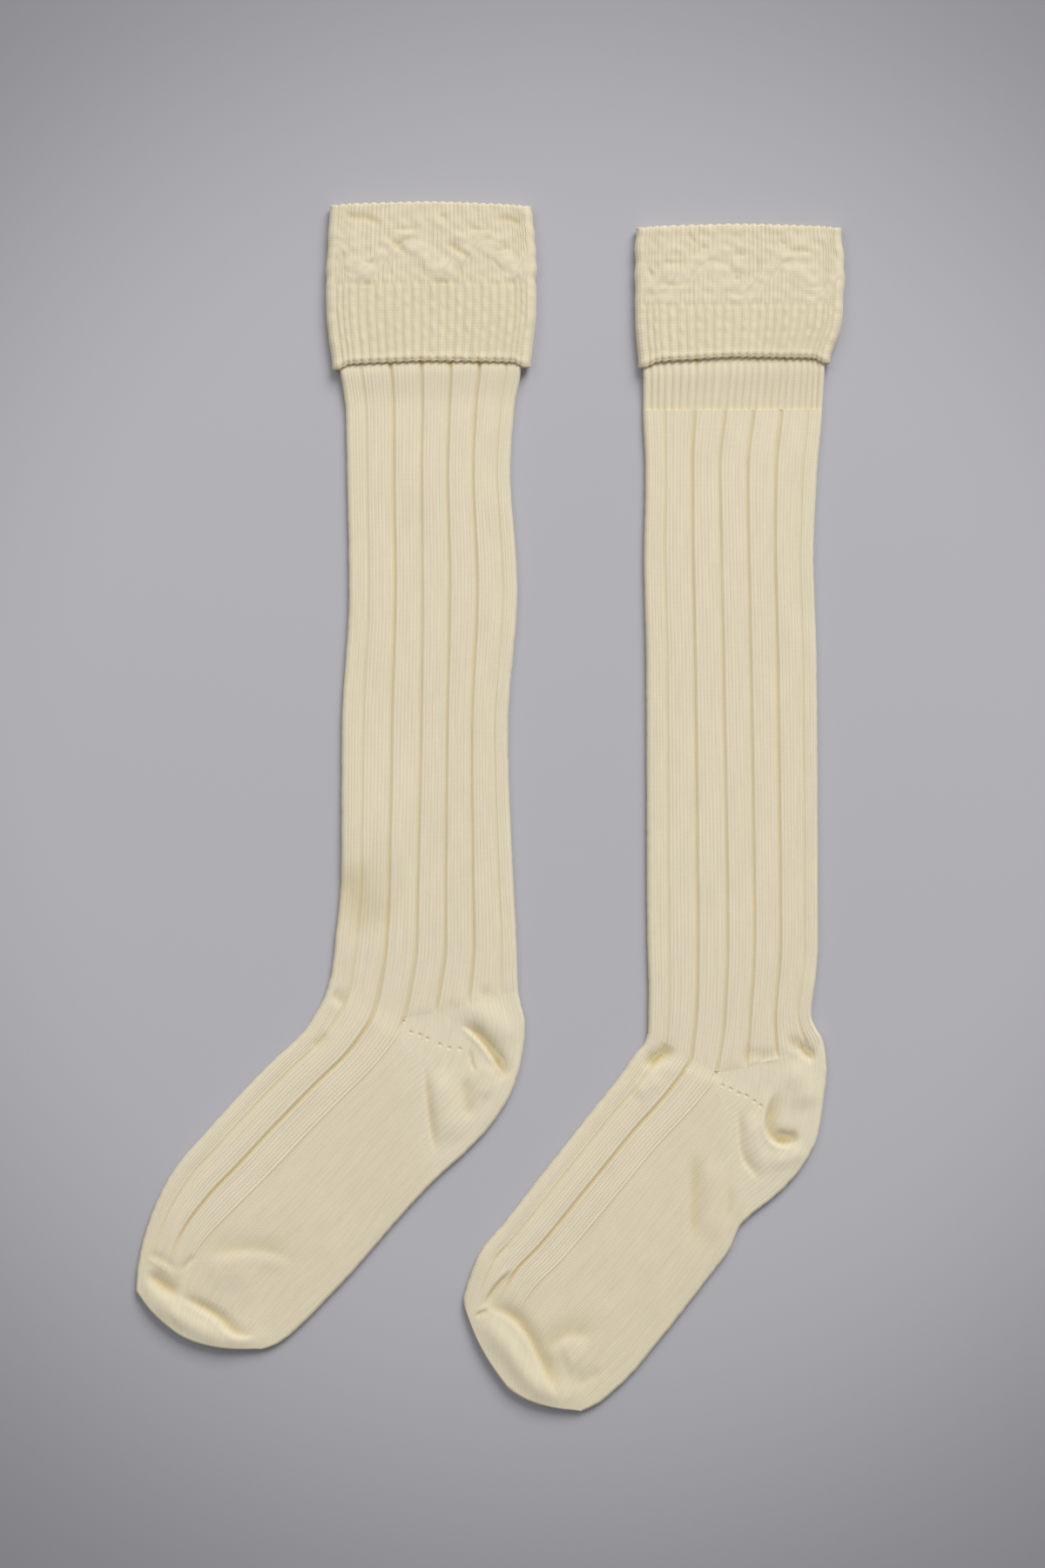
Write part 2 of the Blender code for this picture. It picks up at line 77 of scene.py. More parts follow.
camera_data = bpy.data.cameras.new("overhead_camera")
camera_data.lens = LENS
camera_data.sensor_width = SENSOR
camera = add_object("overhead_camera", camera_data)
camera.location = (*VIEW_MIDDLE, CLOTH_TOP + SEEN_LENGTH * LENS / SENSOR)
bpy.context.scene.camera = camera
bpy.context.scene.view_settings.view_transform = "Standard"
print("camera height in m:", round(camera.location.z, 3))

# %% [markdown]
# ## Colours and nodes
#
# Colours are easiest to pick as sRGB hex values, the way a paint program shows them, but shaders work in
# linear light. One function makes that change. A second one adds a shader node: it sets what is named and
# links what is a socket, so that a whole material reads as a short list of steps. Paper and wool share three
# more: a matt shader, soft noise, and a colour that wanders between two tones.

# %% Helpers for materials


def linear(hex_colour):
    """An sRGB hex colour as linear RGBA."""
    channels = [int(hex_colour[start:start + 2], 16) / 255 for start in (1, 3, 5)]
    return (*[c / 12.92 if c <= 0.04045 else ((c + 0.055) / 1.055) ** 2.4 for c in channels], 1.0)


def add_node(tree, kind, inputs=(), **settings):
    """Adds a node. inputs pairs each input's name or number with a value or with the socket that feeds it."""
    node = tree.nodes.new(kind)
    for name, value in settings.items():
        setattr(node, name, value)
    for place, value in dict(inputs).items():
        if isinstance(value, bpy.types.NodeSocket):
            tree.links.new(value, node.inputs[place])
        else:
            node.inputs[place].default_value = value
    return node


def matt_material(name, roughness, specular):
    """A rough material that hardly shines, with its node tree and its shader."""
    material = bpy.data.materials.new(name)
    material.use_nodes = True
    shader = material.node_tree.nodes["Principled BSDF"]
    shader.inputs["Roughness"].default_value = roughness
    shader.inputs["Specular IOR Level"].default_value = specular
    return material, material.node_tree, shader


def noise(tree, vector, size, detail):
    """Soft noise from 0 to 1 whose spots are about size across."""
    inputs = {"Vector": vector, "Scale": 1 / size, "Detail": detail}
    return add_node(tree, "ShaderNodeTexNoise", inputs).outputs["Fac"]


def paint(tree, factor, tones, brightness):
    """Colours the shader: two sRGB tones mixed by a factor, then scaled by a brightness."""
    inputs = {"Factor": factor, 6: linear(tones[0]), 7: linear(tones[1])}
    mixed = add_node(tree, "ShaderNodeMix", inputs, data_type="RGBA").outputs[2]
    scaled = add_node(tree, "ShaderNodeVectorMath", {0: mixed, "Scale": brightness}, operation="SCALE")
    tree.links.new(scaled.outputs[0], tree.nodes["Principled BSDF"].inputs["Base Color"])


print("cream in linear light:", [round(c, 3) for c in linear("#EFE6CA")])

# %% [markdown]
# ## The table and the light
#
# The pair lies on a plain pale grey sheet of paper. A big plane does, with a matt material: its faint
# mottle is the grain of the paper, a third of a millimetre across.
#
# The corners of such a picture are darker than its middle, because a real lens passes less light there.
# Blender's lens does not, so a painted vignette darkens the paper with distance from the middle of the
# picture.
#
# The light is that of a small studio with white walls. The world gives a little over a third of it, evenly
# from all sides, and that is what draws the soft dark line where cloth meets paper. Two soft boxes give the
# rest: a big one from the top right, whose shadow falls below the toes, and a faint one from the left.

# %% Lay the paper
PAPER_SIZE = 30.0
PAPER_GRAIN = 0.33 * MM
GRAIN_BRIGHTNESS = (0.97, 1.03)
# Painted vignette: the paper's tone in the middle and at the corners, and where the darkening starts and ends
MIDDLE_AND_CORNER = ("#BAB9BE", "#8D8C90")
BRIGHTEST = (0.030, 0.024, 0.0)
BRIGHT_WITHIN = 0.249
DARK_BEYOND = 0.55

paper_net = bmesh.new()
bmesh.ops.create_grid(paper_net, x_segments=1, y_segments=1, size=PAPER_SIZE / 2)
paper_mesh = bpy.data.meshes.new("grey_paper")
paper_net.to_mesh(paper_mesh)
paper_net.free()
paper = add_object("grey_paper", paper_mesh)

# Matt paper board: it scatters light evenly and shines at no angle.
paper_board, tree, _ = matt_material("matt grey paper board", roughness=0.9, specular=0.2)
where = add_node(tree, "ShaderNodeTexCoord").outputs["Object"]
# Painted vignette: the paper's colour darkens from its brightest point out towards the corners
from_middle = add_node(tree, "ShaderNodeVectorMath", {0: where, 1: BRIGHTEST}, operation="DISTANCE")
painted_vignette = add_node(
    tree,
    "ShaderNodeMapRange",
    {"Value": from_middle.outputs["Value"], "From Min": BRIGHT_WITHIN, "From Max": DARK_BEYOND},
    interpolation_type="SMOOTHSTEP",
)
grain = noise(tree, where, PAPER_GRAIN, 2.0)
darkest, brightest = GRAIN_BRIGHTNESS
mottle = add_node(tree, "ShaderNodeMapRange", {"Value": grain, "To Min": darkest, "To Max": brightest})
paint(tree, painted_vignette.outputs[0], MIDDLE_AND_CORNER, mottle.outputs[0])
paper_mesh.materials.append(paper_board)
print("paper in m:", PAPER_SIZE)

# %% Light it
Lamp = namedtuple("Lamp", "name place size watts")
LAMPS = (
    Lamp("key_box", (1.8, 4.1, 4.0), 3.3, 286.0),
    Lamp("fill_box", (-1.6, 1.2, 2.6), 1.6, 14.0),
)
WORLD_STRENGTH = 0.32


def hang(lamp):
    """A square soft box at its place, turned to face the pair."""
    data = bpy.data.lights.new(lamp.name, "AREA")
    data.shape = "SQUARE"
    data.size = lamp.size
    data.energy = lamp.watts
    light = add_object(lamp.name, data)
    light.location = lamp.place
    light.rotation_euler = (-Vector(lamp.place)).to_track_quat("-Z", "Y").to_euler()


for lamp in LAMPS:
    hang(lamp)
world = bpy.data.worlds.new("studio_walls")
world.use_nodes = True
walls = world.node_tree.nodes["Background"].inputs
walls["Color"].default_value = linear("#F4F4F8")
walls["Strength"].default_value = WORLD_STRENGTH
bpy.context.scene.world = world
print("lamps:", [lamp.name for lamp in LAMPS])

# %% [markdown]
# ## The shape of a pressed-flat sock
#
# A sock on a table is a flat tube with a front edge, over the shin and the instep, and a back edge, over
# the calf, the heel and the sole. A third line runs down the side, where the instep's ribs meet the plain
# sole. The tables hold one row for each rung across the sock, with those three points in millimetres.
#
# Smooth curves run through the rungs. Their slopes are the harmonic mean of the steps on either side, so a
# curve never swings past its points and the edge of the cloth gets no bumps that were not put there.

# %% The rungs of each sock
PAIR_MIDDLE = (0.5, 0.0)
SIDE_LINE = 0.434


def rung_table(*rungs):
    """Rows of front x, front y, side x, side y, back x, back y, moved to the pair's own middle."""
    return np.array(rungs) - np.tile(PAIR_MIDDLE, 3)


LEFT_CUFF = rung_table(
    (-84.0, 318.3, -35.9, 319.4, 22.2, 317.6),
    (-85.6, 292.6, -36.3, 293.5, 24.4, 292.6),
    (-86.4, 265.0, -36.8, 265.0, 24.8, 265.0),
    (-83.1, 233.6, -36.8, 235.6, 21.8, 234.9),
)
RIGHT_CUFF = rung_table(
    (77.6, 306.4, 127.9, 307.7, 185.9, 306.2),
    (76.9, 288.0, 128.0, 288.0, 187.6, 288.0),
    (77.0, 258.1, 127.5, 258.5, 186.4, 258.0),
    (78.7, 234.6, 127.0, 237.6, 180.1, 237.0),
)
LEFT_SOCK = rung_table(
    (-81.4, 309.1, -34.5, 309.1, 20.7, 309.1),
    (-81.9, 269.6, -35.4, 269.6, 19.8, 269.6),
    (-79.3, 232.8, -35.9, 234.6, 17.5, 235.5),
    (-76.1, 208.8, -35.9, 208.8, 12.9, 208.8),
    (-75.4, 175.3, -36.3, 175.3, 11.0, 175.3),
    (-74.4, 113.2, -35.9, 113.2, 14.7, 113.2),
    (-78.2, 39.6, -36.6, 39.6, 9.7, 39.6),
    (-78.5, -34.0, -38.2, -36.3, 12.3, -34.0),
    (-81.1, -66.2, -39.1, -75.4, 14.1, -68.5),
    (-83.9, -90.0, -45.1, -110.9, 15.2, -97.1),
    (-84.8, -92.3, -45.6, -112.8, 18.8, -115.9),
    (-85.2, -94.1, -46.2, -114.8, 16.9, -133.3),
    (-85.6, -96.0, -46.9, -116.7, 11.7, -150.7),
    (-86.4, -97.8, -47.7, -118.6, 1.6, -167.3),
    (-86.9, -99.6, -48.6, -120.4, -11.7, -181.9),
    (-87.8, -101.9, -49.6, -122.2, -27.8, -196.4),
    (-97.9, -118.5, -60.7, -136.2, -39.0, -208.0),
    (-115.4, -135.3, -80.0, -155.5, -51.4, -221.8),
    (-132.8, -153.3, -99.4, -175.3, -62.7, -235.0),
    (-150.6, -173.0, -119.1, -196.0, -73.6, -247.5),
    (-166.1, -191.0, -138.0, -214.8, -84.7, -259.1),
    (-177.8, -212.9, -152.7, -230.9, -95.0, -269.8),
    (-184.6, -235.3, -163.8, -251.2, -106.5, -280.3),
    (-186.4, -246.6, -167.9, -265.0, -113.5, -284.8),
    (-187.0, -256.5, -166.1, -278.1, -120.8, -287.0),
)
RIGHT_SOCK = rung_table(
    (80.9, 298.1, 129.2, 298.5, 183.9, 298.1),
    (80.5, 265.0, 127.9, 265.0, 183.1, 265.0),
    (81.2, 232.8, 126.4, 233.7, 177.5, 235.5),
    (81.2, 209.3, 124.2, 209.3, 176.1, 209.8),
    (82.5, 177.6, 121.2, 177.6, 173.4, 177.6),
    (81.7, 131.6, 122.1, 131.6, 171.5, 131.6),
    (82.9, 67.2, 123.3, 67.2, 173.2, 67.2),
    (83.3, -61.6, 125.3, -61.6, 173.8, -70.8),
    (84.2, -96.1, 124.0, -109.9, 170.2, -109.0),
    (83.8, -119.7, 120.0, -139.8, 176.7, -124.2),
    (83.0, -122.1, 120.0, -140.8, 178.4, -138.9),
    (82.1, -124.7, 119.4, -141.7, 176.4, -156.5),
    (80.9, -127.0, 118.9, -142.6, 173.6, -174.0),
    (78.9, -128.9, 118.4, -143.5, 165.9, -189.7),
    (77.3, -130.7, 118.0, -144.4, 153.4, -204.0),
    (76.0, -132.4, 117.5, -145.8, 137.8, -216.5),
    (68.2, -143.6, 107.4, -158.2, 132.2, -222.4),
    (53.9, -161.4, 87.6, -179.4, 127.2, -233.8),
    (39.3, -180.0, 70.0, -200.6, 115.2, -250.0),
    (24.1, -199.3, 54.4, -219.4, 103.0, -265.9),
    (8.4, -219.5, 37.5, -239.2, 89.1, -283.3),
    (-5.8, -237.2, 22.5, -254.6, 74.5, -300.8),
    (-13.8, -260.4, 12.6, -272.3, 57.4, -315.8),
    (-13.4, -264.0, 9.9, -289.8, 53.2, -317.9),
    (-12.3, -267.4, 9.4, -307.2, 48.8, -319.8),
)

# Where in the tables the stretches of a sock begin and end
CUFF_EDGE = 2
BAND_END = 3
HEEL_TOP = 9
HEEL_END = 15
TOE_SEAM = 22
TIP = 24
print("rungs a sock:", len(LEFT_SOCK))

# %% Smooth curves through the rungs
STEPS_A_WALK = 600


def meeting_slope(before, after):
    """The slope where two stretches meet: their harmonic mean, or level where they turn back."""
    alike = before * after > 0
    total = np.where(alike, before + after, 1.0)
    return np.where(alike, 2 * before * after / total, 0.0)


def stretch(share, start, end, start_slope, end_slope, length):
    """The cubic between two points with given slopes, at a share of the way."""
    u = share[:, None]
    return (
        start * (2 * u**3 - 3 * u**2 + 1)
        + end * (3 * u**2 - 2 * u**3)
        + start_slope * length * (u**3 - 2 * u**2 + u)
        + end_slope * length * (u**3 - u**2)
    )


def plan(rungs, row, share):
    """Points on the floor plan: row counts the rungs, and share runs from the front edge to the back one."""
    row = np.clip(np.asarray(row, float), 0, len(rungs) - 1)
    share = np.broadcast_to(np.asarray(share, float), row.shape)
    steps = np.diff(rungs, axis=0)
    slopes = np.concatenate([steps[:1], meeting_slope(steps[:-1], steps[1:]), steps[-1:]])
    first = np.minimum(row.astype(int), len(rungs) - 2)
    here = stretch(row - first, rungs[first], rungs[first + 1], slopes[first], slopes[first + 1], 1.0)
    front, side, back = here[:, 0:2], here[:, 2:4], here[:, 4:6]
    to_side = (side - front) / SIDE_LINE
    to_back = (back - side) / (1 - SIDE_LINE)
    middle = meeting_slope(to_side, to_back)
    near = front + to_side * share[:, None]
    past = (share - SIDE_LINE) / (1 - SIDE_LINE)
    far = stretch(past, side, back, middle, to_back, 1 - SIDE_LINE)
    return np.where((share < SIDE_LINE)[:, None], near, far)


def walk(rungs, share, start, end):
    """Closely spaced rows between two rungs, and the length in mm travelled to each along one line."""
    rows = np.linspace(start, end, STEPS_A_WALK)
    line = plan(rungs, rows, share)
    steps = np.linalg.norm(np.diff(line, axis=0), axis=1)
    return rows, np.concatenate([[0.0], np.cumsum(steps)])


def even_rows(rungs, share, start, end, spacing):
    """Rows spaced evenly in mm along one line of the sock."""
    rows, travelled = walk(rungs, share, start, end)
    count = max(2, round(travelled[-1] / spacing))
    return np.interp(np.linspace(0, travelled[-1], count + 1), travelled, rows)


for name, rungs in (("left", LEFT_SOCK), ("right", RIGHT_SOCK)):
    print(name, "side line in mm:", round(walk(rungs, SIDE_LINE, 0, TIP)[1][-1]))

# %% [markdown]
# ## Wales and courses
#
# Knitting has a grid of its own. A wale is one upright column of stitches, a course is one row of them. In
# this thick wool a wale is 1.8 mm wide and a course 1.4 mm high. The leg repeats every eight wales: seven
# knit ones stand up as a flat panel, and one purl wale sinks between them as a narrow groove.
#
# So the grid for each stretch follows the wales. Six lines of points to a wale let every wale be a true
# ridge, and not only a picture of one. Round the folded edges the lines go round in an arc.

# %% One turn round the tube
GROOVE_FIRST = 0.11
GROOVE_STEP = 0.162
WALES_A_RIB = 8
WALE_SHARE = GROOVE_STEP / WALES_A_RIB
COURSE_HEIGHT = 1.4
FINE_RIBS = 24
EDGE_ANGLES = np.radians((67.5, 45.0, 22.5, 0.0, -22.5, -45.0, -67.5))
EDGE_WALES = 3.6

# Arrays of one number for each line of points round the tube: the share of the way from front to back,
# the sheet (1 upper, 0 an edge, -1 lower), the turn round an edge, and the count of wales
Round = namedtuple("Round", "share sheet turn wale")


def once_round(upper, lower):
    """One turn: upper sheet, back edge, lower sheet, front edge, and the first line of points again."""
    edge = len(EDGE_ANGLES)
    lower = lower[::-1]
    share = np.concatenate([upper, np.ones(edge), lower, np.zeros(edge), upper[:1]])
    sheet = np.repeat([1.0, 0.0, -1.0, 0.0, 1.0], [len(upper), edge, len(lower), edge, 1])
    turn = np.concatenate([0 * upper, EDGE_ANGLES, 0 * lower, -EDGE_ANGLES, [0.0]])
    across = 1 / WALE_SHARE
    past_edge = across + EDGE_WALES
    over_edge = across + EDGE_WALES * (np.arange(edge) + 1) / (edge + 1)
    wale = np.concatenate([
        upper * across,
        over_edge,
        past_edge + (1 - lower) * across,
        past_edge + over_edge,
        [2 * past_edge],
    ])
    return Round(share, sheet, turn, wale - GROOVE_FIRST / WALE_SHARE)


def even_shares(count):
    """Evenly spaced shares from the front edge to the back one."""
    return np.linspace(0.0, 1.0, count + 1)


print("wales across one side:", round(1 / WALE_SHARE, 1))

# %% [markdown]
# ## Placing cloth round the tube
#
# The cloth is 1.8 mm thick and the sock's two layers lie on each other with barely half a millimetre
# between them. A point is placed by its rung, its line round the tube, its depth below the outer face, and
# how far it rises above flat. Near a folded edge the flat sheets draw in a little, to leave room for the
# round of the fold.

# %% Place a point of the cloth
WALL = 1.8
HOLLOW = 0.5
PIECE_GAP = 0.3
LEG_HALF = WALL + HOLLOW / 2
CUFF_HALF = LEG_HALF + PIECE_GAP + WALL
# How far from a folded edge the flat sheets begin to draw in
EDGE_REACH = 12.0
# Which way is inwards at an edge is seen from a point this share of the way in
LOOK_IN = 0.05


def ease(share):
    """0 to 1 with level ends."""
    share = np.clip(share, 0.0, 1.0)
    return share * share * (3 - 2 * share)


def bell(away, width):
    """1 where away is zero, and next to nothing from two widths on."""
    return np.exp(-((away / width) ** 2))


def wrap(rungs, row, line, half, middle, depth, rise, spread):
    """Points of the flattened ring, in mm. line is a Round with one entry for each point.

    spread is how far the folded edges reach out beyond their line on the plan.
    """
    flat_place = plan(rungs, row, line.share)
    front, back = plan(rungs, row, 0.0), plan(rungs, row, 1.0)
    width = np.linalg.norm(back - front, axis=1)
    at_front = line.share < 0.5
    from_edge = np.where(at_front, line.share, 1 - line.share) * width
    look_at = plan(rungs, row, np.where(at_front, LOOK_IN, 1 - LOOK_IN))
    inwards = look_at - np.where(at_front[:, None], front, back)
    inwards /= np.linalg.norm(inwards, axis=1)[:, None]
    on_edge = line.sheet == 0
    arc = half - (half - depth) * np.cos(line.turn)
    near_edge = np.where(on_edge, 1.0, np.clip(1 - from_edge / EDGE_REACH, 0, 1))
    inset = np.where(on_edge, arc, half * near_edge) - spread * near_edge**2
    place = flat_place + inwards * inset[:, None]
    upward = np.where(on_edge, np.sin(line.turn), line.sheet)
    height = middle + upward * (half - depth) + rise * np.clip(upward, 0, 1)
    return np.column_stack([place, height])


print("leg, folded flat, in mm:", 2 * LEG_HALF, " cuff:", round(2 * CUFF_HALF, 2))

# %% [markdown]
# ## Ribs, wales and unevenness
#
# Relief is added as a height over the flat sheet. Each function gives that height for a share of the way
# across. The wide rib is a flat panel between narrow grooves, the fine rib is a wave with two dozen crests,
# and the wales are a small ripple on both. Hand-warm unevenness comes from a few long sine waves with
# seeded phases: knitted cloth never lies as flat as a machined sheet.

# %% Relief of the knitting
GROOVE_CENTRES = [GROOVE_FIRST + GROOVE_STEP * k for k in range(6)]
GROOVE_HALF_WIDTH = 0.0098
# The outermost grooves are stretched shallow where the tube is folded
GROOVE_DEPTHS = (0.45, 1.0, 0.9, 0.95, 1.0, 0.45)
RIB_RISE = 0.8
PANEL_CROWN = 0.2
WALE_RISE = 0.21
PLAIN_RISE = 0.6
PLAIN_WALE_RISE = 0.10
FINE_RISE = 0.75
# The layers of unevenness over a sock and along its folded edges: height and size of their bumps, in mm
LIE = ((0.22, 60.0), (0.10, 17.0))
EDGE_WANDER = ((0.22, 9.0), (0.12, 4.0))
WAVES_A_LAYER = 7
CALF_WIDTH = 89.0


def grooves(share, depths=GROOVE_DEPTHS):
    """Up to 1 in the middle of a groove, falling to 0 on the panels. depths has a number for each groove."""
    each = zip(depths, GROOVE_CENTRES)
    return np.sum([depth * bell(share - centre, GROOVE_HALF_WIDTH) for depth, centre in each], axis=0)


def wales(share):
    """A ripple with a crest on each wale."""
    return 0.5 + 0.5 * np.cos(2 * np.pi * (share - GROOVE_FIRST) / WALE_SHARE)


def wide_rib(share):
    """Height of the wide rib's panels, each of them softly crowned, in mm."""
    crown = np.abs(np.sin(np.pi * (share - GROOVE_FIRST) / GROOVE_STEP))
    return RIB_RISE + PANEL_CROWN * crown + WALE_RISE * wales(share)


def plain_knit(share):
    """Height of the plain knit, in mm."""
    return PLAIN_RISE + PLAIN_WALE_RISE * wales(share)


def fine_rib(share):
    """Round-topped ribs with narrow valleys between, from 0 to 1."""
    wave = 0.5 + 0.5 * np.cos(2 * np.pi * FINE_RIBS * share)
    return wave**0.6


def swell(share):
    """0 at both folded edges and 1 halfway between."""
    return np.sin(np.pi * share)


def uneven(spot, size, seed):
    """A smooth random height from -1 to 1 whose bumps are about size mm across."""
    x, y = spot.T
    draw = np.random.default_rng(seed)
    total = np.zeros(len(x))
    for _ in range(WAVES_A_LAYER):
        angle = draw.uniform(0, 2 * np.pi)
        phase = draw.uniform(0, 2 * np.pi)
        length = size * draw.uniform(0.7, 1.5)
        total += np.sin((x * np.cos(angle) + y * np.sin(angle)) * 2 * np.pi / length + phase)
    return total / WAVES_A_LAYER


def layers(spot, heights_and_sizes, seed):
    """Layers of unevenness on each other, in mm."""
    return sum(height * uneven(spot, size, seed + k) for k, (height, size) in enumerate(heights_and_sizes))


print("rib pitch in mm:", round(GROOVE_STEP * CALF_WIDTH, 1))

# %% [markdown]
# ## Creases
#
# Where a sock turns from leg to foot its cloth has to go somewhere, so it gathers into creases at the heel
# and the toe. Each is a line on the plan with two half widths and a depth, in millimetres. A depth below zero
# makes a soft ridge. Most creases are lopsided: the cloth rises steeply on the left of the way that the line
# runs, where it may roll over into a lip, and gently on its right.
#
# The tables follow the pair's own creases, one by one. A physics simulation of a falling sock would crease
# it too, but never at these places.

# %% The creases of each sock
Crease = namedtuple("Crease", "steep gentle depth lip points")


def crease_table(*rows):
    """Rows of steep half width, gentle half width, depth and lip, then x, y of each point, in mm."""
    return [Crease(*row[:4], np.reshape(row[4:], (-1, 2)) - PAIR_MIDDLE) for row in rows]


LEFT_CREASES = crease_table(
    (1.2, 4.5, 3, 0.4, 9.7, -142.6, 6, -137.5, 2.3, -132, -0.9, -127.4, -4.6, -122.8, -8.3, -119.1,
     -12, -116.4, -16.1, -114.5),
    (4.5, 4.5, 1.5, 0, 1.8, -131.6, 6.9, -138, 10.6, -145.4),
    (8, 8, -1.8, 0, -21.6, -106.7, -7.8, -106.7, 5.5, -115.9, 13.8, -128.8),
    (0.9, 1.3, 0.9, 0.1, -9.7, -127.4, -9.7, -133.9, -7.4, -140.8),
    (3, 4.5, 1.2, 0, -9.7, -167.4, -11, -160.5, -12.4, -151.3, -12, -141.7),
    (5, 5, -1.1, 0, 0.5, -133.4, -0.5, -144.4, -2.8, -156.4),
    (1.4, 3, 1.4, 0, -26.7, -186.8, -29.9, -176.6, -31.7, -162.8, -33.1, -149, -33.6, -134.3),
    (7, 7, -1.7, 0, -24.8, -136.2, -24.4, -149, -22.5, -165.1, -18.4, -180.3),
    (0.9, 2, 1.1, 0.3, 2.8, -98, -2.8, -98, -7.4, -97.5),
    (0.9, 1.4, 0.6, 0.1, -17.5, -103.5, -23, -103.5, -28.5, -104.9),
    (2.4, 4, 1, 0.2, -75.4, -104.4, -80, -101.7, -85.1, -97.1),
    (2, 3, 0.8, 0, -94.8, -127.9, -90.2, -123.7, -85.1, -119.6),
    (32, 32, -2.5, 0, -86, -16.6, -65.3, -18.4, -37.7, -22.1),
    (13, 17, 1.3, 0, -59.8, -71.3, -67.6, -57, -73.6, -42.3, -79.1, -27.6),
    (1.3, 2.6, 0.8, 0.4, -163.3, -246.1, -166.5, -243.8, -170.2, -241, -175.7, -237.8, -182.6, -235.5),
    (1.1, 2, 1, 0.2, -154.6, -236.9, -158.2, -239.7, -161, -242.9, -164.2, -246.1),
    (2.6, 4.5, 2.4, 0.5, -162.8, -258.5, -166.5, -256.2, -171.1, -253.5, -175.7, -249.8, -181.2, -244.7),
    (1.5, 3.6, 2.1, 0.3, -119.6, -278.3, -126, -278.3, -131.6, -277.4, -136.2, -275.1, -140.8, -270.5,
     -147.2, -266.3, -154.1, -262.7, -161, -259, -166.5, -256.2),
    (5.5, 5.5, -2.6, 0, -186.8, -247.5, -179.4, -256.7, -171.1, -264, -161, -270, -149, -275.5,
     -135.2, -280.1, -113.2, -281.5),
    (3, 7, 0.9, 0.3, -98.9, -240.6, -111.3, -235.1, -127.4, -232.3, -142.6, -234.6, -153.2, -239.2),
    (9, 9, -1, 0, -151.8, -247.5, -138, -244.7, -120.5, -246.6),
)
RIGHT_CREASES = crease_table(
    (1.4, 5, 2.3, 0.4, 166.5, -173.9, 161, -177.1, 155.9, -178, 151.3, -176.6, 148.1, -173, 146.7, -167.4,
     147.7, -160.5, 150, -154.6, 153.2, -149),
    (3, 4.5, 1.7, 0, 150, -171.6, 156.9, -174.8, 164.7, -173.4),
    (8, 8, -1.8, 0, 154.6, -136.2, 165.6, -144.4, 168.8, -161.9),
    (5, 5, -1.2, 0, 146.3, -186.8, 157.8, -187.2, 169.3, -180.3),
    (1.4, 3, 1.1, 0, 144.9, -200.1, 139.8, -193.2, 135.2, -187.7, 132.9, -180.3, 132.5, -169.7,
     132, -156.4),
    (5, 5, -1.4, 0, 140.8, -159.2, 140.3, -172, 142.6, -184.9, 149, -195),
    (1, 2.6, 1.4, 0.4, 155.9, -129.7, 150, -131.6, 144.4, -132, 138, -130.6, 131.1, -133.9),
    (2, 4, 1.7, 0.3, 175.3, -134.3, 170.2, -131.6, 165.6, -127.9, 161, -125.1, 155, -124.2),
    (3.5, 3.5, 1.2, 0, 163.8, -127.4, 169.3, -130.6, 173.9, -133.4),
    (3.4, 5, 2.6, 0.3, 98.4, -126.5, 92.5, -131.1, 86.5, -133.9, 78.7, -136.2),
    (4, 4, -1, 0, 92, -142.6, 84.2, -147.2, 75.4, -152.7),
    (3, 5, 1.2, 0, 107.6, -237.4, 107.6, -218, 108.1, -199.6, 108.6, -178.9),
    (6, 7, -1.1, 0, 118.2, -234.6, 117.8, -215.7, 117.8, -197.3, 117.3, -180.3),
    (2, 3, 0.5, 0, 126.5, -222.6, 127, -211.1, 127, -198.7),
    (1.0, 2.6, 2.0, 0.4, -3.2, -264.5, -0.9, -259.9, 2.3, -254.8, 6.9, -249.3, 12.9, -244.3),
    (0.8, 2, 0.5, 0, -0.5, -240.6, 6, -235.1, 13.8, -229.1),
    (0.9, 1.8, 1, 0.2, -7.8, -269.1, -4.1, -266.8, 0, -265.4),
    (1.8, 4.8, 2.2, 0.2, 40.5, -313.7, 33.1, -302.7, 25.8, -288, 20.7, -278.3, 12.9, -269.1, 0, -263.1,
     -6.4, -261.3),
    (6, 6, -2.8, 0, -11, -258.5, -2.8, -270, 5.5, -279.7, 13.3, -290.3, 20.7, -299.9, 30.4, -307.7,
     54.3, -313.7),
    (3, 7, 1.1, 0.3, 57, -279.7, 48.8, -277.8, 42.8, -277.8, 36.8, -280.1, 31.3, -284.3, 27.1, -289.3),
    (8, 8, -1.5, 0, 38.2, -292.6, 45.5, -290.3, 53.4, -291.2),
    (2.6, 4, 0.7, 0, 59.8, -297.6, 52, -302.2, 46, -307.3),
)

# The eyelets are a line of drawn-up stitches where the heel was turned
LEFT_EYELETS = (
    (-45.5, -113.2), (-41.4, -119.1), (-36.8, -120.5), (-32.7, -122.4),
    (-26.2, -125.6), (-21.2, -127.4), (-15.6, -127.9),
)
RIGHT_EYELETS = (
    (119.6, -140.3), (123.3, -147.2), (127.4, -149), (131.6, -151.3),
    (135.7, -152.7), (139.8, -155.5), (143.1, -157.8),
)
# The share of the depths above that is left in cloth pressed flat
KEPT_DEPTH = 0.85
# In half widths: where a lip stands and how wide it is, and how near a crease's middle is deep
LIP_AT = 2.1
LIP_WIDTH = 1.2
DEEP_WITHIN = 0.8
EYELET_RADIUS = 0.7
EYELET_DEPTH = 0.9


def rounded(line):
    """A line with its corners cut off twice, as a soft fold has none."""
    for _ in range(2):
        near = 0.75 * line[:-1] + 0.25 * line[1:]
        far = 0.25 * line[:-1] + 0.75 * line[1:]
        line = np.concatenate([line[:1], np.stack([near, far], axis=1).reshape(-1, 2), line[-1:]])
    return line


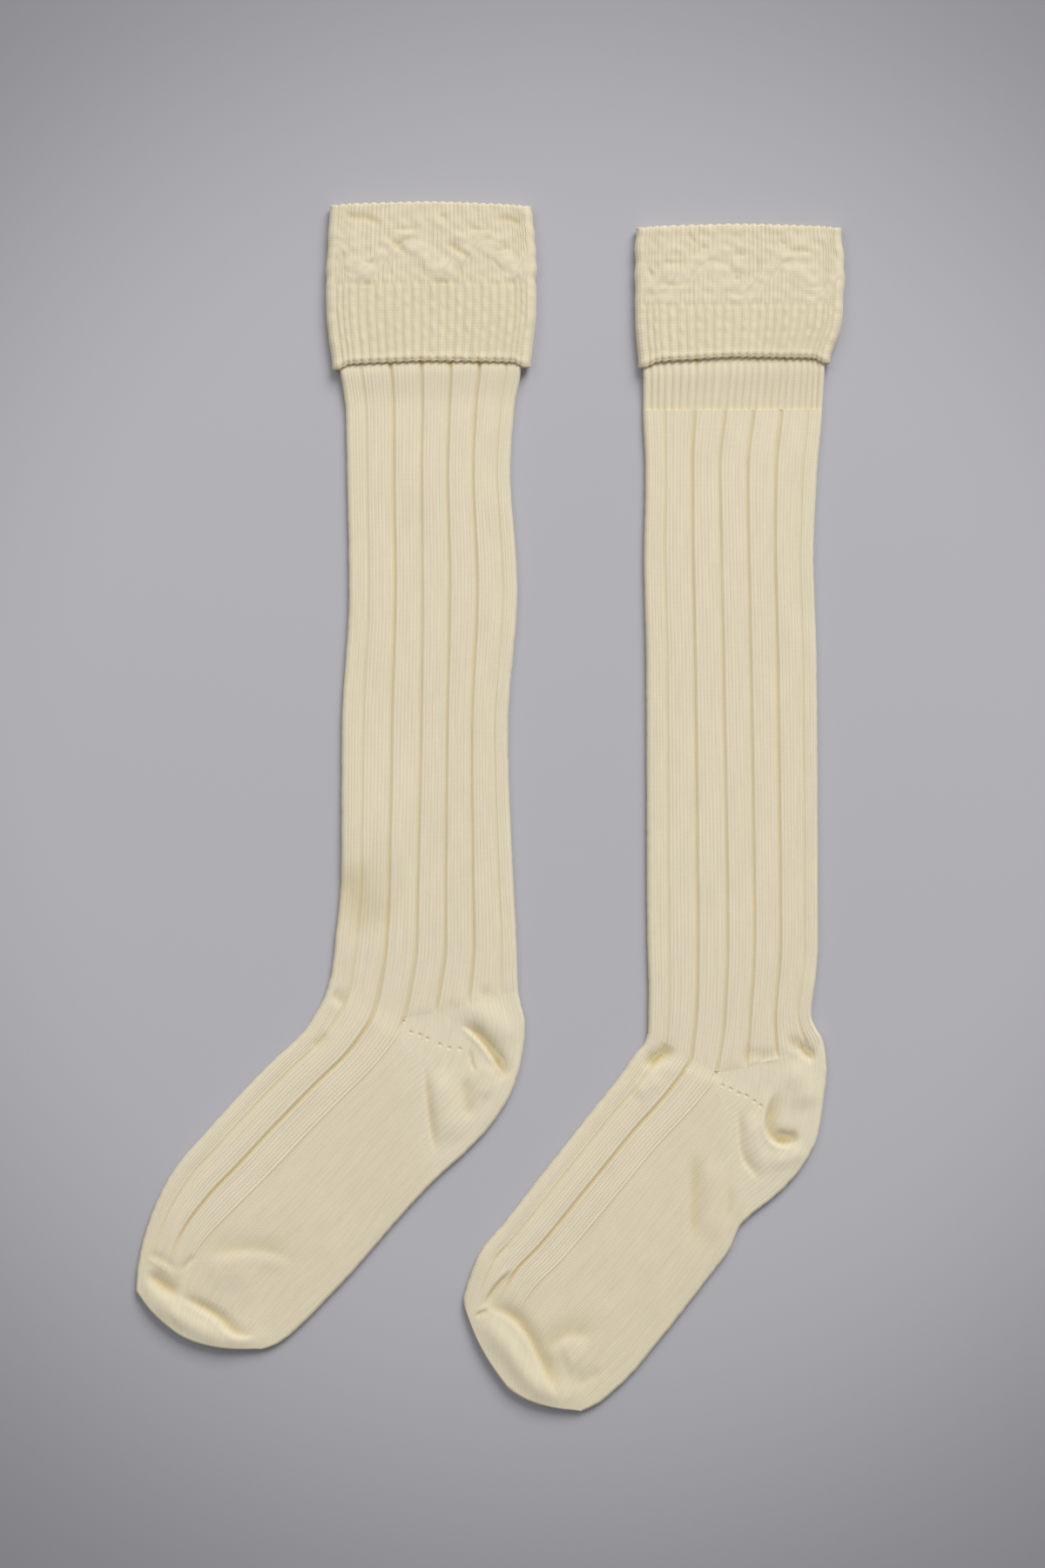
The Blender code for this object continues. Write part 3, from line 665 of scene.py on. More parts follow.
def beside(points, line):
    """Each point's distance from a line, its side (1 left, -1 right) and its share of the way along."""
    away = np.full(len(points), np.inf)
    side, share = np.zeros(len(points)), np.zeros(len(points))
    lengths = np.linalg.norm(np.diff(line, axis=0), axis=1)
    travelled = 0.0
    for start, end, length in zip(line[:-1], line[1:], lengths):
        run = end - start
        part = np.clip((points - start) @ run / length**2, 0, 1)
        off = points - start - part[:, None] * run
        distance = np.linalg.norm(off, axis=1)
        closer = distance < away
        away = np.where(closer, distance, away)
        side = np.where(closer, np.sign(run[0] * off[:, 1] - run[1] * off[:, 0]), side)
        share = np.where(closer, (travelled + part * length) / lengths.sum(), share)
        travelled += length
    return away, side, share


def fold_down(points, creases):
    """How far the cloth sinks at points on the plan, and how much of that is deep in a crease."""
    sunk, deep = np.zeros(len(points)), np.zeros(len(points))
    for crease in creases:
        line = rounded(crease.points)
        reach = 5 * crease.gentle
        near = np.all((points > line.min(axis=0) - reach) & (points < line.max(axis=0) + reach), axis=1)
        away, side, share = beside(points[near], line)
        part = away / np.where(side > 0, crease.steep, crease.gentle)
        fade = ease(3 * share) * ease(3 * (1 - share))
        lip = bell(part - LIP_AT, LIP_WIDTH) * (side > 0)
        sunk[near] += KEPT_DEPTH * fade * (crease.depth * bell(part, 1.0) - crease.lip * lip)
        deep[near] += fade * max(crease.depth, 0) * bell(part, DEEP_WITHIN)
    return sunk, deep


def eyelet_pit(points, eyelets):
    """1 in the middle of an eyelet, falling to 0 round it."""
    places = np.array(eyelets) - PAIR_MIDDLE
    away = [np.linalg.norm(points - place, axis=1) for place in places]
    return bell(np.min(away, axis=0), EYELET_RADIUS)


print("creases:", len(LEFT_CREASES), "left and", len(RIGHT_CREASES), "right")

# %% [markdown]
# ## Cream wool
#
# The pair is knitted from undyed, two-ply sheep's wool. Wool has no shine of its own, but its fine loose
# fibres catch light at a slant, which is what sheen is for. Each stitch is a small V, and the V pattern is
# worked out from the count of wales and courses that every piece carries as its own UV map: zigzags across
# a wale, repeated each course. It feeds a bump, since it is finer than the mesh.
#
# Wool looks darker and warmer where it is deep, because less light reaches there and most of it has bounced
# off other wool. That shade is painted into the colour: every piece stores, in an attribute, how much painted
# shade each point gets, and the colour darkens towards a warm deep tone with it.

# %% Knit the wool
SHEEN = 0.5
SHEEN_TINT = "#FFF8E6"
STITCH_RELIEF = 0.35 * MM
STITCH_SLANT = 1.2
FUZZ_RELIEF = 0.10 * MM
FUZZ_SIZE = 0.45 * MM
FUZZ_STRENGTH = 0.6
PATCH_SIZE = 35 * MM
MOTTLE_SIZE = 2.2 * MM
# Counting courses at a twentieth of their number draws the noise out into streaks along the wales
STREAK_STRETCH = (1.0, 0.05, 1.0)
DARKEST = 0.87
# Painted shade between the loops of the stitches
LOOP_SHADE = 0.08


def knitted_wool(name, face_and_shade_tones, stitch_strength):
    """Matt cream wool with V stitches, loose fibres, a little patchiness and painted shade where it lies
    deep.
    """
    wool, tree, shader = matt_material(name, roughness=0.88, specular=0.15)
    shader.inputs["Sheen Weight"].default_value = SHEEN
    shader.inputs["Sheen Roughness"].default_value = 0.45
    shader.inputs["Sheen Tint"].default_value = linear(SHEEN_TINT)

    knit = add_node(tree, "ShaderNodeUVMap", uv_map="knit").outputs["UV"]
    count = add_node(tree, "ShaderNodeSeparateXYZ", {0: knit}).outputs
    where = add_node(tree, "ShaderNodeTexCoord").outputs["Object"]
    painted_shade = add_node(tree, "ShaderNodeAttribute", attribute_name="painted_shade").outputs["Fac"]

    def maths(operation, *values):
        return add_node(tree, "ShaderNodeMath", dict(enumerate(values)), operation=operation).outputs[0]

    def bump(height, strength, distance, **more):
        inputs = {"Height": height, "Strength": strength, "Distance": distance, **more}
        return add_node(tree, "ShaderNodeBump", inputs).outputs[0]

    # A stitch: two legs that lean away from the middle of the wale
    from_middle = maths("PINGPONG", count["X"], 0.5)
    leg_profile = maths("SINE", maths("MULTIPLY", from_middle, 2 * math.pi))
    slant = maths("MULTIPLY_ADD", from_middle, STITCH_SLANT, count["Y"])
    beat = maths("ABSOLUTE", maths("SINE", maths("MULTIPLY", slant, math.pi)))
    loop = maths("MULTIPLY", leg_profile, maths("MULTIPLY_ADD", beat, 0.6, 0.4))
    stitches = bump(loop, stitch_strength, STITCH_RELIEF)
    fibres = bump(noise(tree, where, FUZZ_SIZE, 3.0), FUZZ_STRENGTH, FUZZ_RELIEF, Normal=stitches)
    tree.links.new(fibres, shader.inputs["Normal"])

    # Tone wanders from one wale to the next, from spot to spot, and in wide patches
    along_wale = add_node(tree, "ShaderNodeVectorMath", {0: knit, 1: STREAK_STRETCH}, operation="MULTIPLY")
    wander = DARKEST
    for at, size, detail, most in (
        (along_wale.outputs[0], 1.0, 1.0, 0.14),
        (where, MOTTLE_SIZE, 2.0, 0.06),
        (where, PATCH_SIZE, 2.0, 0.06),
    ):
        wander = maths("MULTIPLY_ADD", noise(tree, at, size, detail), most, wander)
    # Painted shade: the colour turns to the darker, warmer tone between the loops and where the cloth lies
    # deep
    between = maths("SUBTRACT", 1.0, loop)
    depth = maths("MINIMUM", maths("MULTIPLY_ADD", between, LOOP_SHADE, painted_shade), 1.0)
    paint(tree, depth, face_and_shade_tones, wander)
    return wool


# All three are one yarn; the fine rib's face tone is painted a little darker, for the shade of its deep
# relief
FINE_RIB_WOOL = knitted_wool("cream wool, fine rib", ("#E9DEC1", "#C2A966"), 0.45)
WIDE_RIB_WOOL = knitted_wool("cream wool, wide rib", ("#ECE2C7", "#CBB170"), 0.40)
PLAIN_WOOL = knitted_wool("cream wool, plain knit", ("#EBE2C7", "#C6AC6C"), 0.30)
print("wools:", [wool.name for wool in (FINE_RIB_WOOL, WIDE_RIB_WOOL, PLAIN_WOOL)])

# %% [markdown]
# ## From a flat grid to a closed shell of cloth
#
# Every stretch starts with `create_grid`. Each grid point remembers its row and its column in two marks, so
# that any step later on can ask where in the knitting it is. The UV map is written while the grid is still
# flat and has a first and a last column. Only then are the points placed and the two sides welded, which
# closes the tube without tearing the map.
#
# For a plain stretch of tube the grid goes right round the wall's own cross-section: down the outer face
# with many rows, round the rim, and back up the inner face with few. Where a stretch has a stepped outline,
# as heel and foot do, the outer face is laid first, the cells that it lacks are deleted, and the wall is
# extruded from what is left.

# %% Make and close a net
WELD = 0.0005
SHARP_ANGLE = 60.0


def mark_layers(net):
    """The marks that hold the row and the column of each point."""
    return net.verts.layers.int["row"], net.verts.layers.int["column"]


def new_net(rows, columns):
    """A flat grid whose points carry their row and column."""
    net = bmesh.new()
    bmesh.ops.create_grid(net, x_segments=columns, y_segments=rows, size=1.0)
    net.verts.layers.int.new("row")
    net.verts.layers.int.new("column")
    # The painted shade of each point
    net.verts.layers.float.new("painted_shade")
    row_mark, column_mark = mark_layers(net)
    for vert in net.verts:
        vert[row_mark] = round((vert.co.y + 1) / 2 * rows)
        vert[column_mark] = round((vert.co.x + 1) / 2 * columns)
    return net


def marks(verts, net):
    """The row and the column of each vertex."""
    return [np.array([vert[mark] for vert in verts]) for mark in mark_layers(net)]


def map_knit(net, wale, course):
    """Writes the count of wales and courses into the UV map."""
    knit = net.loops.layers.uv.new("knit")
    row_mark, column_mark = mark_layers(net)
    for face in net.faces:
        for loop in face.loops:
            loop[knit].uv = (wale[loop.vert[column_mark]], course[loop.vert[row_mark]])


def put(verts, net, points, painted_shade):
    """Moves each vertex to its place, given in mm, and notes how much painted shade it gets."""
    layer = net.verts.layers.float["painted_shade"]
    for vert, point, deep in zip(verts, points * MM, painted_shade):
        vert.co = point
        vert[layer] = deep


def weld(net):
    """Joins the points that fall together and turns all faces outwards."""
    bmesh.ops.remove_doubles(net, verts=net.verts, dist=WELD * MM)
    bmesh.ops.recalc_face_normals(net, faces=net.faces)


def finish(net, name, wool):
    """Turns the net into a finished piece in the scene."""
    weld(net)
    mesh = bpy.data.meshes.new(name)
    net.to_mesh(mesh)
    net.free()
    mesh.shade_smooth()
    mesh.set_sharp_from_angle(angle=math.radians(SHARP_ANGLE))
    mesh.materials.append(wool)
    add_object(name, mesh)
    print(name, "triangles:", sum(len(polygon.vertices) - 2 for polygon in mesh.polygons))


def pick(line, column):
    """The Round of each point, from its column."""
    return Round(*[values[column] for values in line])


# %% Close a stretch of tube
Section = namedtuple("Section", "along depth lean course")


def tube(name, wool, section, line, place):
    """A shell whose grid goes round the wall's cross-section and round the tube."""
    net = new_net(len(section.along), len(line.share) - 1)
    map_knit(net, line.wale, np.append(section.course, section.course[0]))
    row, column = marks(net.verts, net)
    row %= len(section.along)
    put(net.verts, net, *place(section.along[row], section.depth[row], section.lean[row], pick(line, column)))
    finish(net, name, wool)


def wall_section(rows, inner_rows, course):
    """Down the outer face and back up the inner one. rows run from one rim to the other."""
    along = np.concatenate([rows, inner_rows[::-1]])
    depth = np.concatenate([np.zeros(len(rows)), np.full(len(inner_rows), WALL)])
    inner_course = np.interp(inner_rows[::-1], rows, course)
    return Section(along, depth, np.zeros(len(along)), np.concatenate([course, inner_course]))


print("tube builder ready")

# %% [markdown]
# ## The turn-over cuffs
#
# The top of each sock is folded down over itself. Its lower half is a fine one-and-one rib. Above it runs a
# raised band that winds up and down in a zigzag of soft puffs, made on the real sock by travelling stitches
# that pull the cloth together. The edge that was cast off is a slightly raised, scalloped bead.
#
# A displacement texture could make the band, but the puffs are large enough to change the outline, so they
# go into the mesh. Distance to a wave that runs round the cuff gives the band, and a second, shorter wave
# along it cuts the band into puffs.

# %% The relief of a cuff


def puff_table(*rows):
    """Creases that are alike on both sides: rows of half width and depth, then x, y of each point, in mm."""
    return crease_table(*[(width, width, depth, 0, *points) for width, depth, *points in rows])


LEFT_PUFFS = puff_table(
    (3.4, -1.2, -33.1, 282.4, -25.3, 282, -17.5, 282.9),
    (3.4, -1, -71.8, 281.5, -65.3, 281.1, -58.9, 282),
    (3.4, -1, 10.1, 281.1, 15.6, 281.5, 20.2, 282),
    (2.6, -0.9, -34, 306.4, -28.5, 307.7, -23, 306.8),
    (2.2, -0.9, -58.9, 298.1, -54.3, 297.6, -50.6, 295.3),
    (1.9, -0.9, -48.8, 300.8, -44.2, 301.8, -39.6, 301.3),
    (2.2, -1, -20.2, 301.8, -14.7, 299.9, -9.7, 297.6),
    (2.6, -0.9, 0, 297.6, 5.5, 299, 12, 299.5),
    (3.4, -0.8, -78.2, 305.4, -74.5, 299, -70.8, 291.6),
    (2.6, -0.8, -40.5, 296.2, -35.9, 291.6, -31.3, 287),
    (2.6, -0.7, -9.2, 294.4, -13.8, 290.7, -17.5, 286.6),
    (2.6, -0.7, 1.8, 293, 6.4, 289.8, 11, 285.7),
    (2.2, -0.6, -61.6, 287, -58, 291.6, -53.4, 293.5),
    (2.6, -0.9, 16.6, 317.4, 20.2, 314.6, 21.2, 310),
    (2, 0.9, -80.5, 312.8, -72, 311.2, -62, 309.8, -55, 306.5),
    (0.9, 0.7, -53.4, 304.5, -44.2, 304.1, -35, 304.5),
    (0.9, 0.7, -12, 304.5, -5.5, 304.1, 1.8, 304.5),
    (2, 0.9, 2.5, 310.5, 10, 309.8, 17, 307.8, 22, 306.5),
    (0.9, 0.7, -26.7, 311.9, -23.9, 311, -21.6, 310),
    (1.8, 0.8, -24, 299, -18.5, 294.5, -12, 291, -7, 289),
    (1.8, 0.7, -57, 303, -51, 298.5, -46, 293.5, -42, 290),
    (0.9, 0.6, 1.4, 293, 6.4, 293.5, 12.9, 294.9),
    (0.8, 0.6, -49.2, 295.8, -47.4, 297.2, -45.1, 296.7),
    (0.9, 0.6, -67.6, 286.6, -64.4, 287, -60.3, 287),
    (0.9, 0.9, -27.1, 276, -24.4, 276.9, -21.2, 276),
    (0.9, 0.6, -70.8, 275.1, -65.3, 275.5, -59.8, 275.1),
    (0.9, 0.6, 0.9, 288.9, 4.1, 286.1, 6.4, 282.4),
    (0.9, 0.5, -34.5, 288, -35, 283.4, -34, 277.8),
    (0.9, 0.5, -15.6, 286.1, -14.7, 281.5, -15.2, 276.9),
    (0.9, 0.5, -53.4, 288, -52.4, 283.4, -52, 277.8),
    (1.4, 0.7, -80, 293.5, -78.2, 288.9, -79.1, 284.3),
)
RIGHT_PUFFS = puff_table(
    (3.4, -1.1, 126, 284.7, 131.6, 285.2, 137.1, 285.2),
    (3.2, -0.9, 88.3, 281.1, 94.8, 281.5, 101.2, 281.1),
    (3.2, -0.9, 158.2, 281.1, 165.6, 281.1, 173, 280.1),
    (2.2, -0.8, 115.9, 291.6, 122.4, 292.6, 128.8, 293.9),
    (1.8, -0.8, 129.3, 294.4, 134.3, 295.3, 138.9, 294.4),
    (2.4, -0.7, 150, 293.5, 154.1, 290.3, 158.2, 287),
    (1.6, -0.8, 155.5, 295.8, 162.8, 296.2, 170.2, 295.3),
    (1.8, -0.7, 157.3, 289.3, 164.7, 289.8, 172, 289.3),
    (2.8, -0.6, 90.2, 291.6, 97.5, 293, 104.9, 294.4),
    (2.2, -0.6, 140.8, 292.1, 145.4, 293.5, 149.5, 295.3),
    (2.8, -0.5, 82.8, 303.6, 91.1, 304.1, 99.4, 303.6),
    (2.6, -0.5, 108.6, 305, 114.1, 305, 119.6, 304.1),
    (2.6, -0.6, 125.1, 303.6, 131.6, 303.6, 138, 304.1),
    (2.6, -0.6, 145.4, 305, 151.8, 304.5, 158.2, 303.6),
    (2.8, -0.6, 172, 301.8, 177.6, 299, 181.2, 293.5),
    (1.1, 0.6, 103.5, 303.1, 106.7, 299.5, 109.9, 295.3),
    (0.9, 0.8, 111.3, 294.9, 113.6, 294.4, 115.9, 293.9),
    (0.8, 0.7, 128.3, 291.2, 132, 290.7, 136.2, 290.7),
    (0.8, 0.6, 156.4, 292.6, 163.3, 293, 171.1, 292.1),
    (0.9, 0.6, 89.2, 287, 95.7, 286.6, 103.5, 287),
    (0.8, 0.6, 87.4, 275.5, 96.6, 275.1, 106.3, 275.5),
    (0.9, 0.9, 128.3, 277.4, 130.6, 278.3, 132.9, 277.4),
    (0.8, 0.5, 161, 273.7, 171.1, 274.2, 182.2, 274.2),
    (1.2, 0.7, 80, 285.2, 81.9, 282.4, 85.1, 278.8),
    (0.9, 0.7, 151.8, 298.5, 154.1, 297.2, 156.4, 295.8),
    (0.9, 0.4, 138, 299.9, 142.6, 298.5, 146.7, 297.2),
    (0.9, 0.4, 116.4, 288, 117.8, 283.4, 117.3, 278.8),
    (0.9, 0.4, 140.8, 288.9, 141.7, 284.3, 141.2, 278.8),
)
Cuff = namedtuple("Cuff", "rungs first_wave band_rise puffs seed")
CUFFS = {
    "left": Cuff(LEFT_CUFF, 0.167, 0.7, LEFT_PUFFS, 11),
    "right": Cuff(RIGHT_CUFF, 0.125, 0.6, RIGHT_PUFFS, 12),
}
PUFF_SHARE = 0.75
# The corners hang a little lower than the middle, both of the fold and of the free edge
FOLD_DROOP = 0.8
FOLD_DROOP_LENGTH = 6.0
CORNER_DROOP = 2.2
CORNER_DROOP_LENGTH = 9.0
DROOP_WIDTH = 5.0
# Thick wool fills the corners of the fold out to the side
CORNER_FILL = 1.8
WAVE_PERIOD = 0.375
WAVE_MIDDLE = 29.0
WAVE_REACH = 8.0
BAND_HALF = 6.5
PUFFS_A_WAVE = 6
PUFF_SLANT = 0.55
FURROW_SLANT = 0.22
FURROW_WIDTH = 0.22
FURROW_DEPTH = 0.3
LUMP_SIZE = 6.0
LUMP_RISE = 0.3
RIB_START = 45.0
NARROW_RISE = 0.4
SEAM_AT = RIB_START - 1.5
SEAM_WIDTH = 1.0
SEAM_DEPTH = 0.25
TURN_LENGTH = 8.0
CUFF_FOLD = WALL + PIECE_GAP / 2
# How much painted shade the deepest places get: between ribs, in furrows, in the seam and in puff creases
WIDE_SHADE = 0.20
NARROW_SHADE = 0.12
FURROW_SHADE = 0.1
SEAM_SHADE = 0.12
PUFF_SHADE = 0.4


def into_rib(away):
    """0 above the cuff's fine rib and 1 within it."""
    return ease((away - RIB_START + 3) / 4)


def cuff_relief(cuff, share, away, spot):
    """Height of the cuff's outer face, and its painted shade, at a distance from the top fold."""
    turn = 2 * np.pi * (share - cuff.first_wave) / WAVE_PERIOD
    off_wave = away - WAVE_MIDDLE - WAVE_REACH * np.cos(turn)
    band = np.exp(-((off_wave / BAND_HALF) ** 4))
    puffs = 0.5 + 0.5 * np.cos(PUFFS_A_WAVE * turn + PUFF_SLANT * off_wave)
    furrow = bell(np.sin(turn + FURROW_SLANT * off_wave), FURROW_WIDTH) * band
    lumps = uneven(spot, LUMP_SIZE, cuff.seed)
    raised = cuff.band_rise * band * (0.45 + 0.55 * puffs) + LUMP_RISE * lumps - FURROW_DEPTH * furrow
    sunk, deep = fold_down(spot, cuff.puffs)
    sunk *= PUFF_SHARE
    in_rib = into_rib(away)
    above = 1 - in_rib
    off_band = above * (1 - np.clip(band + 0.6 * np.abs(sunk), 0, 1))
    wide, narrow = fine_rib(share), fine_rib(2 * share)
    ribs = wide * FINE_RISE * (0.75 + 0.5 * lumps) * in_rib + NARROW_RISE * narrow * off_band
    seam = bell(away - SEAM_AT, SEAM_WIDTH) * (1 - 0.6 * wide)
    height = raised * above - sunk + ribs - SEAM_DEPTH * seam
    painted_shade = WIDE_SHADE * (1 - wide) * in_rib + NARROW_SHADE * (1 - narrow) * off_band
    return height, painted_shade + FURROW_SHADE * furrow * above + SEAM_SHADE * seam + PUFF_SHADE * deep


print("waves across a cuff:", round(1 / WAVE_PERIOD, 1))

# %% Fold the cuffs
CUFF_SPACING = 1.1
FOLD_ANGLES = np.radians(np.arange(0.0, 181.0, 15.0))
BEAD_ANGLES = np.radians(np.arange(30.0, 180.0, 30.0))
BEAD_RISE = 0.6
BEAD_AT = 1.2
BEAD_WIDTH = 1.5
# The cast-off edge thins out towards the leg that it lies on
EDGE_THINS = 0.8
THIN_WITHIN = 0.9
# Painted shadow along the rim of the cast-off edge, where it overhangs the leg
RIM_SHADE = 0.5
CUFF_SWELL = 0.8
# The ribs scallop the top fold and the free edge, and the folded sides wander above the rib
FOLD_SCALLOP = 0.9
EDGE_SCALLOP = 0.45
SCALLOP_LENGTH = 2.0
SIDE_WANDER = 0.9
SIDE_WANDER_SIZE = 11.0


def cuff_section(length):
    """Free edge, up the outside, over the top fold, into the mouth, and back down the inside."""
    rise_to_fold = np.arange(length, CUFF_FOLD, -CUFF_SPACING)
    over_fold = CUFF_FOLD * (1 - np.sin(FOLD_ANGLES))
    inner = np.linspace(CUFF_FOLD, length, 12)
    rim = length + WALL / 2 * np.sin(BEAD_ANGLES)
    along = [rise_to_fold, over_fold, [TURN_LENGTH, TURN_LENGTH, CUFF_FOLD, WALL], inner, rim[::-1]]
    depth = [
        np.zeros(len(rise_to_fold)),
        CUFF_FOLD * (1 - np.cos(FOLD_ANGLES)),
        [2 * CUFF_FOLD, WALL + PIECE_GAP, WALL + PIECE_GAP, CUFF_FOLD],
        np.full(len(inner), WALL),
        (WALL / 2 * (1 - np.cos(BEAD_ANGLES)))[::-1],
    ]
    lean = [np.zeros(len(rise_to_fold)), FOLD_ANGLES, np.full(4 + len(inner) + len(rim), np.pi)]
    along, depth, lean = (np.concatenate(part) for part in (along, depth, lean))
    steps = np.hypot(np.diff(along), np.diff(depth))
    course = -np.concatenate([[0.0], np.cumsum(steps)]) / COURSE_HEIGHT
    return Section(along, depth, lean, course)


def fold_cuff(side, cuff):
    """The turn-over of one sock. Its rows are placed by their distance from the top fold."""
    rows, travelled = walk(cuff.rungs, SIDE_LINE, 0, len(cuff.rungs) - 1)
    length = travelled[-1]
    width = cuff.rungs[-1][4] - cuff.rungs[-1][0]

    def place(away, depth, lean, line):
        share = line.share
        spot = plan(cuff.rungs, np.interp(away, travelled, rows), share)
        relief, painted_shade = cuff_relief(cuff, share, away, spot)
        to_edge = length - away
        relief += BEAD_RISE * bell(to_edge - BEAD_AT, BEAD_WIDTH) - EDGE_THINS * bell(to_edge, THIN_WITHIN)
        shown = np.clip(np.cos(lean), 0, 1)
        upper = np.where(line.sheet == 1, 1.0, np.clip(np.sin(line.turn), 0, 1))

        from_side = np.minimum(share, 1 - share) * width
        droop = CORNER_DROOP * bell(from_side, DROOP_WIDTH) * bell(to_edge, CORNER_DROOP_LENGTH)
        droop += FOLD_DROOP * np.exp(-from_side / DROOP_WIDTH) * bell(away, FOLD_DROOP_LENGTH)
        scallop = FOLD_SCALLOP * np.sin(lean) * (1 - fine_rib(share))
        scallop += EDGE_SCALLOP * bell(to_edge, SCALLOP_LENGTH) * np.cos(2 * np.pi * FINE_RIBS * share)
        away = away + droop + scallop * upper

        wander = SIDE_WANDER * (1 - into_rib(away)) * uneven(spot, SIDE_WANDER_SIZE, cuff.seed + 5)
        spread = (layers(spot, EDGE_WANDER, cuff.seed + 2) + wander) * shown + CORNER_FILL * np.sin(lean) ** 2
        rise = CUFF_SWELL * swell(share) + relief * shown * (depth < WALL / 2)
        row = np.interp(away, travelled, rows)
        points = wrap(cuff.rungs, row, line, CUFF_HALF, CUFF_HALF, depth, rise, spread)
        points[:, 1] -= np.minimum(away, 0) + np.maximum(away - length, 0)
        # Painted shadow on the rim of the free edge, and painted shade in the relief above it
        rim = (to_edge < 0.05) * (lean > 0)
        return points, np.maximum(painted_shade * shown * upper, RIM_SHADE * rim)

    line = once_round(even_shares(12 * FINE_RIBS), even_shares(2 * FINE_RIBS))
    tube(side + "_cuff_knit", FINE_RIB_WOOL, cuff_section(length), line, place)


for side, cuff in CUFFS.items():
    fold_cuff(side, cuff)

# %% [markdown]
# ## The legs
#
# The leg hangs out below the cuff and lies down to the table within a couple of centimetres. Its cloth is
# the wide rib. On the left sock it runs all the way up inside the turn-over. On the right sock the turn-over
# is shorter, and a band of the fine rib shows between it and the wide rib.

# %% The two socks
# leg_start is the rung where the wide rib begins. The bulges are how far the toe's outline rounds out in
# front of the side line and behind it, in mm.
Sock = namedtuple("Sock", "rungs leg_start creases eyelets front_bulge back_bulge seed")
SOCKS = {
    "left": Sock(LEFT_SOCK, 0, LEFT_CREASES, LEFT_EYELETS, 1.3, 2.6, 21),
    "right": Sock(RIGHT_SOCK, BAND_END, RIGHT_CREASES, RIGHT_EYELETS, 2.0, 2.0, 31),
}
LEG_SWELL = 0.8
RIBS_END = 0.2
PAST_SIDE = 0.02
# Painted shade in the grooves, between the wales and in the creases
GROOVE_SHADE = 0.38
WALE_SHADE = 0.08
CREASE_SHADE = 0.20
# The line of stitches where the band ends, in rungs
BAND_LINE = BAND_END - 0.06
BAND_LINE_WIDTH = 0.05
BAND_LINE_DEPTH = 0.5
# Painted shade in that line of stitches and between the band's ribs
BAND_LINE_SHADE = 0.3
BAND_SHADE = 0.13


def shade(share, deep, in_crease):
    """How much painted shade the cloth gets in its grooves, between its wales and in its creases."""
    return GROOVE_SHADE * deep + WALE_SHADE * (1 - wales(share)) + CREASE_SHADE * in_crease


def wide_relief(sock, share, row, spot):
    """Wide ribs that end at the plain heel behind, and run on into the instep in front."""
    at_heel = ease((row - HEEL_TOP + RIBS_END) / RIBS_END) * ease((share - SIDE_LINE) / PAST_SIDE)
    deep = grooves(share) * (1 - at_heel)
    sunk, in_crease = fold_down(spot, sock.creases)
    panel = wide_rib(share) * (1 - at_heel) + plain_knit(share) * at_heel
    return panel * (1 - deep) - sunk, shade(share, deep, in_crease)


def fine_relief(sock, share, row, spot):
    """The fine rib of the band, which ends in a sunken line of stitches."""
    line = bell(row - BAND_LINE, BAND_LINE_WIDTH)
    rib = fine_rib(share)
    return FINE_RISE * rib - BAND_LINE_DEPTH * line, BAND_SHADE * (1 - rib) + BAND_LINE_SHADE * line


print("socks:", list(SOCKS))

# %% Lay the legs
LEG_SPACING = 3.0
INNER_SPACING = 24.0
LEG_WALES = 49
LINES_A_WALE = 6
DOWN_AFTER_CUFF = 22.0
RIBS_FADE_IN = 1.5
# Painted shadow: the leg is painted darker just below the cuff's free edge, and darkest where its grooves run
# in under it
UNDER_CUFF_SHADE = 0.35
UNDER_CUFF_REACH = 1.2
RUN_IN_SHADE = 0.8
RUN_IN_REACH = 3.0


def leg_place(side, relief):
    """Places the cloth of a leg. relief gives its height and its painted shade."""
    sock, cuff = SOCKS[side], CUFFS[side]
    free_edge = plan(cuff.rungs, np.full(40, len(cuff.rungs) - 1), np.linspace(0, 1, 40))
    edge = plan(sock.rungs, [CUFF_EDGE], SIDE_LINE)[0, 1]

    def place(row, depth, lean, line):
        below = edge - plan(sock.rungs, row, SIDE_LINE)[:, 1]
        lift = (CUFF_HALF - LEG_HALF) * (1 - ease(below / DOWN_AFTER_CUFF))
        spot = plan(sock.rungs, row, line.share)
        height, painted_shade = relief(sock, line.share, row, spot)
        outer = (depth == 0) * ease(below / RIBS_FADE_IN)
        rise = LEG_SWELL * swell(line.share) + outer * (height + layers(spot, LIE, sock.seed))
        spread = outer * layers(spot, EDGE_WANDER, sock.seed + 2)
        points = wrap(sock.rungs, row, line, LEG_HALF, LEG_HALF + lift, depth, rise, spread)
        # Painted shadow below the cuff's free edge
        past_edge = np.interp(spot[:, 0], *free_edge.T) - spot[:, 1]
        run_in = grooves(line.share) * bell(past_edge, RUN_IN_REACH)
        painted_shade += UNDER_CUFF_SHADE * bell(past_edge, UNDER_CUFF_REACH) + RUN_IN_SHADE * run_in
        return points, painted_shade * (depth == 0) * (line.sheet >= 0)

    return place


def lay_leg(side, name, start, end, line, relief):
    """A stretch of leg between two rungs."""
    rungs = SOCKS[side].rungs
    rows = even_rows(rungs, SIDE_LINE, start, end, LEG_SPACING)
    inner = even_rows(rungs, SIDE_LINE, rows[0], rows[-1], INNER_SPACING)
    course = np.interp(rows, *walk(rungs, SIDE_LINE, 0, TIP)) / COURSE_HEIGHT
    tube(side + name, WIDE_RIB_WOOL, wall_section(rows, inner, course), line, leg_place(side, relief))


LEG_ROUND = once_round(even_shares(LINES_A_WALE * LEG_WALES), even_shares(LEG_WALES))
for side, sock in SOCKS.items():
    lay_leg(side, "_leg_knit", sock.leg_start, HEEL_TOP, LEG_ROUND, wide_relief)

